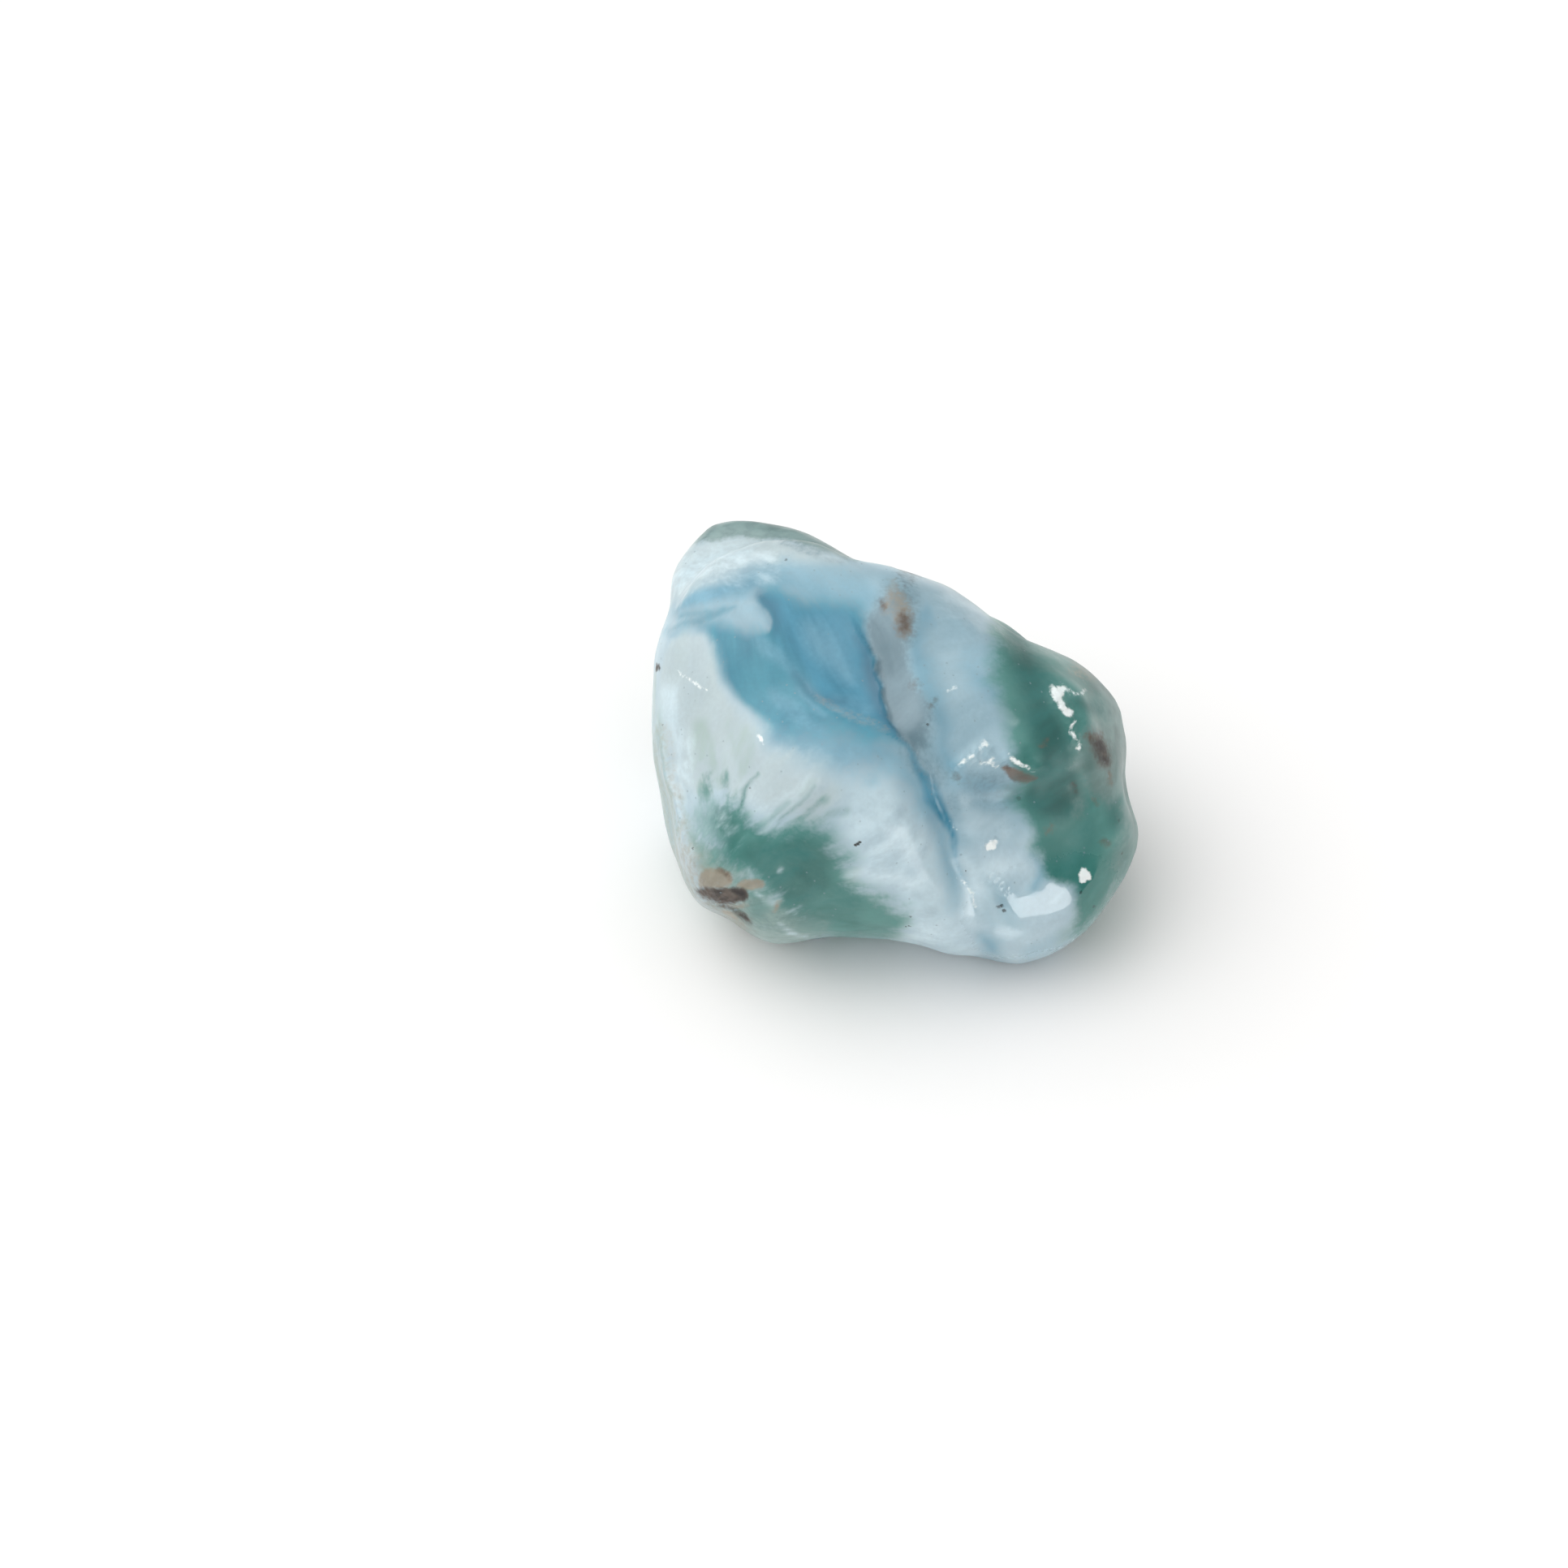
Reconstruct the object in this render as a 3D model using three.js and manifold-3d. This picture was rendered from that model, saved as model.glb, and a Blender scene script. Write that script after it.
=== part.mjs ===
// Raw larimar: one piece of blue pectolite with softly worn edges, about as long as a thumb joint.
//
// The stone is one solid. Its form is worked out from its heart outwards. A rim and a set of broken
// faces bound it, and are blended into one soft-edged block. Swells and hollows then move that surface
// out or in, and a few long features cross it: the crease between the two lobes of the show face, the
// raised vein beside the blue hollow, and the old fracture edges. The stone rests on a small flat,
// where its underside is cut straight across.
//
// Units are millimetres. +X is to the right, +Y away from the show face and +Z up. The origin is the
// middle of the stone's footprint box, on the plane that it rests on.

import * as THREE from "three";
import { ImprovedNoise } from "three/addons/math/ImprovedNoise.js";
import { mergeVertices } from "three/addons/utils/BufferGeometryUtils.js";
import Module from "manifold-3d";

// The show face is the side with the blue hollow. It looks towards -Y and up, at this many degrees.
const SHOW_ELEVATION = 50;

// How far the resting flat lies below the heart, and the size of what is cut away under it.
const REST_DEPTH = 9.6;
const CUT_WIDTH = 60;
const CUT_DEPTH = 20;

// The surface starts from an icosahedron with this many splits in each edge.
const FINENESS = 18;

// A place on the stone is a direction from its heart. It is given as a clock angle round the show
// face, with 0 at its right and 90 at its top, and a lean away from the direction that the show face
// looks in: 0 is the middle of the show face, 90 is its rim, and beyond 90 is the far side.

// The rim of the show face: [clock, distance from the heart].
const RIM = [
  [4, 16.3], [12, 16.2], [20, 15.3], [30, 13.6], [40, 12.3], [52, 11.9], [66, 11.9],
  [80, 12.2], [90, 12.7], [98, 13.2], [106, 15.0], [114, 17.5], [121, 19.3], [129, 19.2],
  [138, 18.3], [144, 17.0], [152, 16.5], [165, 15.6], [180, 15.0], [195, 15.3], [212, 16.7],
  [226, 14.6], [240, 14.1], [252, 12.6], [264, 12.0], [276, 12.3], [290, 13.9], [303, 16.2],
  [318, 17.5], [332, 18.25], [345, 17.9], [353, 16.6],
];
const RIM_BELLY = 1.6;

// Away from the show face the rim's own bumps fade into a plain round.
const FAR_RADIUS = 14.6;
const FAR_LEANS = [95, 135];

// The broken faces: [clock, lean, distance from the heart].
const FACES = {
  basin_floor: [90, 22, 10.6],
  front_left: [236, 21, 12.0],
  front_low: [268, 42, 12.0],
  left_slope: [175, 38, 12.4],
  left_flank: [198, 79, 14.9],
  right_lobe_top: [38, 12, 10.6],
  right_lobe_front: [328, 24, 11.3],
  nose: [312, 64, 17.2],
  upper_right: [55, 58, 12.6],
  right_end: [6, 55, 15.2],
  top: [110, 55, 14.4],
  back: [84, 128, 12.4],
  back_right: [25, 118, 15.0],
  back_left: [155, 120, 15.6],
  back_low: [110, 158, 12.6],
  under_front: [262, 114, 14.6],
  under_left: [212, 120, 14.2],
  under_right: [328, 116, 17.4],
  under: [278, 140, 12.5],
  under_back: [250, 151, 11.4],
  behind: [40, 160, 13.0],
};
const EDGE_SHARPNESS = 18;

// Swells stand out and hollows sink in: [clock, lean, radius over the surface, height].
const SWELLS = {
  knob: [125, 99, 3.2, 1.1],
  shoulder: [139, 96, 1.8, 0.7],
  blue_hollow: [112, 42, 4.4, -0.9],
  teal_hollow: [150, 44, 2.8, -0.6],
  deep_hollow: [98, 27, 2.2, -0.6],
  left_lobe: [245, 24, 4.5, 0.4],
  left_bump: [172, 40, 2.2, 0.3],
  right_dish: [334, 41, 2.8, -0.7],
  nose_tip: [318, 84, 3.0, 0.3],
  brown_pocket: [222, 62, 2.0, -0.35],
  undercut: [268, 122, 3.4, -1.5],
  back_scoop: [62, 132, 5.0, -0.9],
  back_chip: [150, 138, 3.6, -0.7],
  right_chip: [12, 104, 3.0, -0.5],
};

// Ridges stand up and creases cut in, along a route of places.
const RIDGES = {
  seam: {
    route: [[134, 54], [134, 39], [136, 24], [122, 13], [57, 9]],
    height: 0.35,
    width: 0.8,
  },
  vein: {
    route: [[83, 74], [86, 58], [78, 42], [66, 28], [34, 17], [352, 20]],
    height: 0.6,
    width: 1.5,
  },
  crease: {
    route: [[69, 9], [348, 11], [325, 19], [314, 31], [305, 43], [302, 56], [299, 76], [296, 96]],
    height: -1.1,
    width: 1.3,
  },
  crest: {
    route: [[90, 70], [106, 71], [114, 76], [121, 79], [128, 79], [135, 77]],
    height: 0.5,
    width: 1.0,
  },
  behind_crest: {
    route: [[97, 80], [106, 81], [115, 85], [123, 87], [131, 86], [138, 83], [145, 80]],
    height: -1.2,
    width: 1.2,
  },
  right_crest: {
    route: [[352, 22], [359, 34], [357, 46], [352, 54]],
    height: 0.6,
    width: 1.6,
  },
  end_crest: {
    route: [[28, 64], [14, 61], [0, 62], [348, 64]],
    height: 0.5,
    width: 1.6,
  },
  flank_crest: {
    route: [[168, 74], [180, 72], [194, 69], [207, 66], [217, 66]],
    height: 0.5,
    width: 1.0,
  },
  old_crack: {
    route: [[150, 84], [146, 74], [142, 66], [135, 63]],
    height: -0.4,
    width: 0.7,
  },
  back_crack: {
    route: [[176, 108], [160, 118], [134, 122], [112, 136], [84, 142]],
    height: -0.6,
    width: 1.3,
  },
};

// A worn surface is never quite even: [length of an undulation, height].
const WEATHERING = [[5.5, 0.28], [2.2, 0.1]];

// Ridges and creases taper off towards their ends, but for this much of their length.
const RIDGE_END = 0.02;

const DEGREES = Math.PI / 180;
const show = {
  right: new THREE.Vector3(1, 0, 0),
  up: new THREE.Vector3(0, Math.sin(SHOW_ELEVATION * DEGREES), Math.cos(SHOW_ELEVATION * DEGREES)),
  out: new THREE.Vector3(0, -Math.cos(SHOW_ELEVATION * DEGREES), Math.sin(SHOW_ELEVATION * DEGREES)),
};

function towards(clock, lean) {
  const side = Math.sin(lean * DEGREES);
  return new THREE.Vector3()
    .addScaledVector(show.out, Math.cos(lean * DEGREES))
    .addScaledVector(show.right, side * Math.cos(clock * DEGREES))
    .addScaledVector(show.up, side * Math.sin(clock * DEGREES));
}

const rimCurve = new THREE.CubicInterpolant(
  [...RIM.map(([clock]) => clock), RIM[0][0] + 360],
  [...RIM.map(([, distance]) => distance), RIM[0][1]],
  1,
);
rimCurve.settings = { endingStart: THREE.WrapAroundEnding, endingEnd: THREE.WrapAroundEnding };

function rimRadius(direction) {
  const x = direction.dot(show.right);
  const y = direction.dot(show.up);
  const out = direction.dot(show.out);
  const [first] = RIM[0];
  const clock = first + THREE.MathUtils.euclideanModulo(Math.atan2(y, x) / DEGREES - first, 360);
  const far = THREE.MathUtils.smoothstep(Math.acos(out) / DEGREES, ...FAR_LEANS);
  const rim = THREE.MathUtils.lerp(rimCurve.evaluate(clock)[0], FAR_RADIUS, far);
  return rim / Math.hypot(x, y, out / RIM_BELLY);
}

const faces = Object.values(FACES).map(([clock, lean, distance]) => ({
  normal: towards(clock, lean),
  distance,
}));

function blockRadius(direction) {
  let sum = rimRadius(direction) ** -EDGE_SHARPNESS;
  for (const { normal, distance } of faces) {
    const facing = normal.dot(direction);
    if (facing > 0) sum += (facing / distance) ** EDGE_SHARPNESS;
  }
  return sum ** (-1 / EDGE_SHARPNESS);
}

const swells = Object.values(SWELLS).map(([clock, lean, radius, height]) => ({
  centre: towards(clock, lean),
  radius,
  height,
}));

function swellHeight(direction, reach) {
  let sum = 0;
  for (const { centre, radius, height } of swells) {
    const gap = direction.angleTo(centre) * reach;
    sum += height * Math.exp(-((gap / radius) ** 2));
  }
  return sum;
}

const ridges = Object.values(RIDGES).map(({ route, height, width }) => ({
  route: route.map(([clock, lean]) => towards(clock, lean)),
  height,
  width,
}));

// The nearest point of a route, as the angle to it and how far along the route it is, from 0 to 1.
function nearestOnRoute(direction, route) {
  const point = new THREE.Vector3();
  let nearest = { gap: Infinity, along: 0 };
  for (let i = 0; i < route.length - 1; i++) {
    const leg = new THREE.Line3(route[i], route[i + 1]);
    const fraction = leg.closestPointToPointParameter(direction, true);
    const gap = direction.angleTo(leg.at(fraction, point));
    if (gap < nearest.gap) nearest = { gap, along: (i + fraction) / (route.length - 1) };
  }
  return nearest;
}

function ridgeHeight(direction, reach) {
  let sum = 0;
  for (const { route, height, width } of ridges) {
    const { gap, along } = nearestOnRoute(direction, route);
    const taper = Math.sqrt(Math.sin(Math.PI * THREE.MathUtils.clamp(along, RIDGE_END, 1 - RIDGE_END)));
    sum += height * taper * Math.exp(-(((gap * reach) / width) ** 2));
  }
  return sum;
}

const noise = new ImprovedNoise();

function weathering(point) {
  let sum = 0;
  for (const [length, height] of WEATHERING) {
    sum += height * noise.noise(point.x / length, point.y / length, point.z / length);
  }
  return sum;
}

function surfacePoint(direction) {
  const reach = blockRadius(direction);
  const point = direction.clone().multiplyScalar(reach);
  const height = swellHeight(direction, reach) + ridgeHeight(direction, reach) + weathering(point);
  return point.addScaledVector(direction, height);
}

function wholeStone() {
  const geometry = new THREE.IcosahedronGeometry(1, FINENESS);
  geometry.deleteAttribute("normal");
  geometry.deleteAttribute("uv");
  const ball = mergeVertices(geometry);
  const position = ball.getAttribute("position");
  const direction = new THREE.Vector3();
  for (let i = 0; i < position.count; i++) {
    const { x, y, z } = surfacePoint(direction.fromBufferAttribute(position, i).normalize());
    position.setXYZ(i, x, y, z);
  }
  return ball;
}

const wasm = await Module();
wasm.setup();

function solidOf(geometry) {
  return new wasm.Manifold(new wasm.Mesh({
    numProp: 3,
    vertProperties: new Float32Array(geometry.getAttribute("position").array),
    triVerts: new Uint32Array(geometry.getIndex().array),
  }));
}

// What lies below the resting flat is cut away.
function cutToRest(geometry) {
  const waste = new THREE.BoxGeometry(CUT_WIDTH, CUT_WIDTH, CUT_DEPTH);
  waste.deleteAttribute("normal");
  waste.deleteAttribute("uv");
  waste.translate(0, 0, -REST_DEPTH - CUT_DEPTH / 2);
  const { vertProperties, triVerts } = solidOf(geometry).subtract(solidOf(mergeVertices(waste))).getMesh();
  const rested = new THREE.BufferGeometry();
  rested.setAttribute("position", new THREE.BufferAttribute(vertProperties, 3));
  rested.setIndex(new THREE.BufferAttribute(triVerts, 1));
  return rested;
}

const geometry = cutToRest(wholeStone());
geometry.computeBoundingBox();
const middle = geometry.boundingBox.getCenter(new THREE.Vector3());

const stone = new THREE.Mesh(
  geometry,
  new THREE.MeshStandardMaterial({ color: 0xa9cad6, roughness: 0.25, metalness: 0 }),
);
stone.name = "larimar_stone";
stone.position.set(-middle.x, -middle.y, REST_DEPTH);

const group = new THREE.Group();
group.add(stone);

export default group;
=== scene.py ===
"""A raw larimar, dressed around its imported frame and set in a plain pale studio.

The stone is one lightly worn piece of blue pectolite. Its skin is a fine copy of the frame's solid with the
small relief put in: the lip of the vein, the furrows and crests, the soft swells and the worn grain. Its
markings are blooms and feathered patches, laid out in millimetres on the plane of the show side or by
direction from the heart, and the material draws the mineral's radiating fibres through them.
"""

from __future__ import annotations

import logging
import math
from dataclasses import dataclass
from enum import Enum
from functools import cached_property

import bmesh
import bpy
import numpy as np
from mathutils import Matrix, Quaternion, Vector, noise
from mathutils.bvhtree import BVHTree

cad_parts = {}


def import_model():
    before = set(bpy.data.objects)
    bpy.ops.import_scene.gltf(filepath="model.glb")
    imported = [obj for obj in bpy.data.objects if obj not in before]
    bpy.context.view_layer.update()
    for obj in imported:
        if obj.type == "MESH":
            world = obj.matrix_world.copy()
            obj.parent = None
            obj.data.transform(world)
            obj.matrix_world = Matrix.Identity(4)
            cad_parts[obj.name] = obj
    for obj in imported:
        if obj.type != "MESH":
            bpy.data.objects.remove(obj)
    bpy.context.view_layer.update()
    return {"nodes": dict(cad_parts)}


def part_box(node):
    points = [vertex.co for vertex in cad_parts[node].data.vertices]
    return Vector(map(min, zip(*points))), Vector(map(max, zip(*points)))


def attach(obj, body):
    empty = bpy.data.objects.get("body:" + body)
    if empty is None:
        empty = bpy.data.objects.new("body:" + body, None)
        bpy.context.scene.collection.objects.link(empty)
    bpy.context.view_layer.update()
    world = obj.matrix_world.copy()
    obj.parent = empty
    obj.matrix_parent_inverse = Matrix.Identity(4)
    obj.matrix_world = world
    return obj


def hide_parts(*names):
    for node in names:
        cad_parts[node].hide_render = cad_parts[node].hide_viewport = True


Tree = bpy.types.NodeTree
Socket = bpy.types.NodeSocket

LOG = logging.getLogger("larimar")
MM = 0.001
STONE = "larimar_stone"

# How many points each span of a smooth route or of a row of blooms gets.
ROUTE_STEPS = 4
TRAIL_STEPS = 8
# The smallest square of a span's length that a share is worked out with, and the smallest softness.
LEAST_SQUARE = 1e-12
LEAST_SOFTNESS = 0.05
# How far outside a mark can be, in softnesses.
FAR_OUT = -4.0
# How fast relief and marks fade where the stone turns away: their gain for each unit of facing the eye.
RELIEF_TURN = 4
MARK_TURN = 6
# How much further round than its own limit a mark is still worked out.
TURN_MARGIN = 0.3


def linear(shade: str) -> tuple[float, float, float, float]:
    """Turns an sRGB hex value to linear light.

    Args:
        shade: The colour as "#RRGGBB".

    Returns:
        The linear red, green, blue and an alpha of 1.
    """
    parts = [int(shade[i : i + 2], 16) / 255 for i in (1, 3, 5)]
    light = [c / 12.92 if c <= 0.04045 else ((c + 0.055) / 1.055) ** 2.4 for c in parts]
    return (*light, 1.0)


def ease(value: np.ndarray) -> np.ndarray:
    """Eases a value from 0 to 1 with level ends."""
    held = np.clip(value, 0.0, 1.0)
    return held * held * (3 - 2 * held)


def curve_through(stops: np.ndarray, closed: bool, steps: int) -> np.ndarray:
    """Draws a smooth curve through stops: a Catmull-Rom spline.

    Args:
        stops: One row a stop; every column is carried along the curve.
        closed: Whether the last stop joins the first.
        steps: How many points each span gets.

    Returns:
        The points on the curve, with the first one again at the end of a closed one.
    """
    count = len(stops)
    spans = count if closed else count - 1
    points = []
    for i in range(spans):
        pick = [(i + k) % count if closed else min(max(i + k, 0), count - 1) for k in (-1, 0, 1, 2)]
        a, b, c, d = (stops[k] for k in pick)
        slope, bend, twist = c - a, 2 * a - 5 * b + 4 * c - d, 3 * b - a - 3 * c + d
        points += [0.5 * (2 * b + slope * t + bend * t**2 + twist * t**3) for t in np.arange(steps) / steps]
    points.append(stops[0] if closed else stops[-1])
    return np.array(points)


@dataclass(frozen=True)
class Nearest:
    """What is nearest on a route: how far it is, on which side, and what the route carries there."""

    gap: np.ndarray
    side: np.ndarray
    along: np.ndarray
    carried: np.ndarray


def nearest_on(route: np.ndarray, places: np.ndarray) -> Nearest:
    """Finds the nearest point of a route for every place.

    Args:
        route: Points of a route on the plane, with carried values from the third column on.
        places: Places on the plane, one a row.

    Returns:
        The distance, the side (1 on the left of the way along, -1 on the right), the share of the route
        passed, and the carried values.
    """
    gap = np.full(len(places), np.inf)
    side = np.ones(len(places))
    along = np.zeros(len(places))
    carried = np.zeros((len(places), route.shape[1] - 2))
    spans = len(route) - 1
    for i in range(spans):
        start, step = route[i, :2], route[i + 1, :2] - route[i, :2]
        away = places - start
        share = np.clip(away @ step / max(step @ step, LEAST_SQUARE), 0, 1)
        off = away - share[:, None] * step
        distance = np.hypot(off[:, 0], off[:, 1])
        closer = distance < gap
        gap[closer] = distance[closer]
        turn = step[0] * away[:, 1] - step[1] * away[:, 0]
        side[closer] = np.where(turn[closer] >= 0, 1.0, -1.0)
        along[closer] = (i + share[closer]) / spans
        carried[closer] = route[i, 2:] + share[closer, None] * (route[i + 1, 2:] - route[i, 2:])
    return Nearest(gap, side, along, carried)


def inside_loop(loop: np.ndarray, places: np.ndarray) -> np.ndarray:
    """Tells which places lie inside a closed loop on the plane, by counting crossings."""
    inside = np.zeros(len(places), bool)
    x, y = places[:, 0], places[:, 1]
    for (x0, y0), (x1, y1) in zip(loop[:-1, :2], loop[1:, :2]):
        if y0 == y1:
            continue
        crosses = (y0 > y) != (y1 > y)
        inside ^= crosses & (x < x0 + (y - y0) * (x1 - x0) / (y1 - y0))
    return inside


@dataclass(frozen=True)
class ShowSide:
    """The side that the stone is shown from: the eye, and the plane that marks are laid out on.

    A place on the plane is (right, up) in millimetres from the heart, and lands on the stone on the line
    from the eye. A direction from the heart is (clock, lean): lean is the angle away from the show side,
    and clock the angle round it from the right, counterclockwise, both in degrees.
    """

    heart: tuple[float, float, float] = (-1.07, -0.49, 9.6)
    elevation: float = 50.0
    distance: float = 285.3
    aim_right: float = -6.25
    aim_up: float = -1.77
    plane_depth: float = 7.0
    lens: float = 100.0
    sensor: float = 36.0

    @property
    def axes(self) -> np.ndarray:
        """Rows are the right, up and toward directions of the show side."""
        rise = math.radians(self.elevation)
        up = (0, math.sin(rise), math.cos(rise))
        toward = (0, -math.cos(rise), math.sin(rise))
        return np.array([(1, 0, 0), up, toward])

    @property
    def eye(self) -> np.ndarray:
        """Where the eye is, in millimetres."""
        return np.array(self.heart) + np.array((self.aim_right, self.aim_up, self.distance)) @ self.axes

    def seen(self, points: np.ndarray) -> np.ndarray:
        """Returns the (right, up) places on the plane at which points are seen."""
        shown = (points - self.eye) @ self.axes.T
        shown *= (self.plane_depth - self.distance) / shown[:, 2:]
        return shown[:, :2] + (self.aim_right, self.aim_up)

    def on_plane(self, right: float, up: float) -> np.ndarray:
        """Returns a place on the plane as a point in space."""
        return np.array(self.heart) + np.array((right, up, self.plane_depth)) @ self.axes

    def direction(self, clock: float, lean: float) -> np.ndarray:
        """Returns a direction from the heart as a unit vector."""
        turn, tip = math.radians(clock), math.radians(lean)
        spread = math.sin(tip)
        return np.array((math.cos(turn) * spread, math.sin(turn) * spread, math.cos(tip))) @ self.axes


@dataclass
class Ground:
    """The stone's skin as arrays, in millimetres, which relief and marks are worked out on.

    Every edge wanders by a waver and a finer ripple. Each has a size, over which it changes, and a height,
    and the seed settles both.
    """

    show: ShowSide
    points: np.ndarray
    normals: np.ndarray
    quads: np.ndarray
    waver_size: float = 1.7
    waver: float = 0.22
    ripple_size: float = 0.55
    ripple: float = 0.07
    seed: int = 3

    @cached_property
    def tree(self) -> BVHTree:
        """The skin as a search tree."""
        return BVHTree.FromPolygons(self.points.tolist(), self.quads.tolist())

    @cached_property
    def facing(self) -> np.ndarray:
        """How squarely each point faces the eye, from -1 to 1."""
        sight = self.show.eye - self.points
        sight /= np.linalg.norm(sight, axis=1)[:, None]
        return np.einsum("ij,ij->i", sight, self.normals)

    @cached_property
    def drifted(self) -> np.ndarray:
        """The points with a natural waver, which every edge drawn with them gets."""
        waver = self.wander(self.waver_size) * self.waver
        ripple = self.wander(self.ripple_size) * self.ripple
        return self.points + waver + ripple

    @cached_property
    def seen_drifted(self) -> np.ndarray:
        """The wavering points as seen on the show plane."""
        return self.show.seen(self.drifted)

    def near(self, route: np.ndarray, reach: float, wrap: float) -> np.ndarray:
        """Tells which points a mark on the show side may touch.

        Args:
            route: The mark's outline or route.
            reach: How far beyond it the mark is felt, in millimetres.
            wrap: The least that a point has to face the eye.

        Returns:
            True for each point in the route's box, widened by the reach, that doesn't face too far away.
        """
        low, high = route[:, :2].min(0) - reach, route[:, :2].max(0) + reach
        in_box = np.all((self.seen_drifted > low) & (self.seen_drifted < high), axis=1)
        return in_box & (self.facing > wrap - TURN_MARGIN)

    def cut(self, depth: np.ndarray, most: float, wrap: float) -> np.ndarray:
        """Returns a mark's depth, cut off where the stone turns away past the wrap, and at the most."""
        return np.clip(np.minimum(depth, (self.facing - wrap) * MARK_TURN), FAR_OUT, most)

    def wander(self, size: float) -> np.ndarray:
        """Returns a smooth random vector at every point, changing over size millimetres."""
        noise.seed_set(self.seed)
        return np.array([noise.noise_vector(Vector(p) / size) for p in self.points])

    def clouds(self, size: float, offset: float = 0.0) -> np.ndarray:
        """Returns a smooth random value from about -1 to 1 at every point."""
        shift = Vector((offset, -offset, offset))
        return np.array([noise.noise(Vector(p) / size + shift) for p in self.points])

    def land(self, right: float, up: float) -> np.ndarray:
        """Returns the point of the stone at a place on the show plane."""
        target = self.show.on_plane(right, up)
        way = Vector(target - self.show.eye).normalized()
        hit = self.tree.ray_cast(Vector(self.show.eye), way)[0]
        return np.array(hit if hit else self.tree.find_nearest(Vector(target))[0])

    def surface(self, clock: float, lean: float) -> np.ndarray:
        """Returns the point of the stone in a direction from the heart."""
        way = Vector(self.show.direction(clock, lean))
        return np.array(self.tree.ray_cast(Vector(self.show.heart), way)[0])


# --- Relief: what stands out of or lies below the smooth form -------------------------------------------


@dataclass(frozen=True)
class Ledge:
    """A step across the show side: the ground on the left of the route stands higher, and falls off.

    The taper is how many times over the step would rise to its full height along the route.
    """

    route: tuple[tuple[float, float], ...]
    height: float
    crispness: float = 0.12
    reach: float = 1.6
    taper: float = 6

    def lift(self, ground: Ground) -> np.ndarray:
        """Returns how far each point moves out, in millimetres."""
        route = curve_through(np.array(self.route), closed=False, steps=ROUTE_STEPS)
        found = nearest_on(route, ground.seen_drifted)
        signed = found.gap * found.side
        ends = ease(np.minimum(found.along, 1 - found.along) * self.taper)
        step = ease(signed / self.crispness * 0.5 + 0.5) - 0.5
        fade = np.exp(-((found.gap / self.reach) ** 2))
        return self.height * step * fade * ends * ease(ground.facing * RELIEF_TURN)


@dataclass(frozen=True)
class Groove:
    """A furrow along a route on the show side, or a crest, whose depth is negative.

    The taper is how many times over it would reach its full depth along the route, and the roundness is
    the power that shapes its section: 1 gives a sharp bottom and 2 a round one.
    """

    route: tuple[tuple[float, float], ...]
    depth: float
    width: float
    taper: float = 5
    roundness: float = 1.6

    def lift(self, ground: Ground) -> np.ndarray:
        """Returns how far each point moves out, in millimetres."""
        route = curve_through(np.array(self.route), closed=False, steps=ROUTE_STEPS)
        found = nearest_on(route, ground.seen_drifted)
        ends = ease(np.minimum(found.along, 1 - found.along) * self.taper)
        profile = np.exp(-np.abs(found.gap / self.width) ** self.roundness)
        return -self.depth * profile * ends * ease(ground.facing * RELIEF_TURN)


@dataclass(frozen=True)
class Swell:
    """A soft rise or hollow about a direction from the heart."""

    clock: float
    lean: float
    radius: float
    height: float

    def lift(self, ground: Ground) -> np.ndarray:
        """Returns how far each point moves out, in millimetres."""
        gap = np.linalg.norm(ground.drifted - ground.surface(self.clock, self.lean), axis=1)
        return self.height * np.exp(-((gap / self.radius) ** 2))


@dataclass(frozen=True)
class Weathering:
    """The worn grain: each scale is a size and a height in millimetres.

    It has been rubbed off the nose, and the nose's edge is the power that says how suddenly it comes back.
    """

    scales: tuple[tuple[float, float], ...] = ((4.2, 0.12), (1.9, 0.035), (0.8, 0.012))
    nose: tuple[float, float] = (321, 63)
    nose_radius: float = 3.6
    nose_edge: float = 4
    rubbed: float = 0.85

    def lift(self, ground: Ground) -> np.ndarray:
        """Returns how far each point moves out, in millimetres."""
        gap = np.linalg.norm(ground.points - ground.surface(*self.nose), axis=1)
        left = 1 - self.rubbed * np.exp(-((gap / self.nose_radius) ** self.nose_edge))
        return left * sum(ground.clouds(size, size) * height for size, height in self.scales)


# --- Marks: the fields that the material turns to colour ------------------------------------------------


@dataclass(frozen=True)
class Patch:
    """A closed patch on the show side. Each stop is (right, up, softness of the edge there).

    The most is the deepest that it gets, in softnesses: at 0 the patch is half there. The wrap is the least
    that the stone has to face the eye, from -1 to 1, so a lower one carries the patch further round.
    """

    outline: tuple[tuple[float, float, float], ...]
    most: float = 4.0
    wrap: float = -0.15

    def depth(self, ground: Ground) -> np.ndarray:
        """Returns how far inside the patch each point is, in softnesses, negative outside."""
        loop = curve_through(np.array(self.outline), closed=True, steps=ROUTE_STEPS)
        near = ground.near(loop, -FAR_OUT * loop[:, 2].max(), self.wrap)
        places = ground.seen_drifted[near]
        found = nearest_on(loop, places)
        sign = np.where(inside_loop(loop, places), 1.0, -1.0)
        depth = np.full(len(ground.points), FAR_OUT)
        depth[near] = sign * found.gap / np.maximum(found.carried[:, 0], LEAST_SOFTNESS)
        return ground.cut(depth, self.most, self.wrap)


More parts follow.
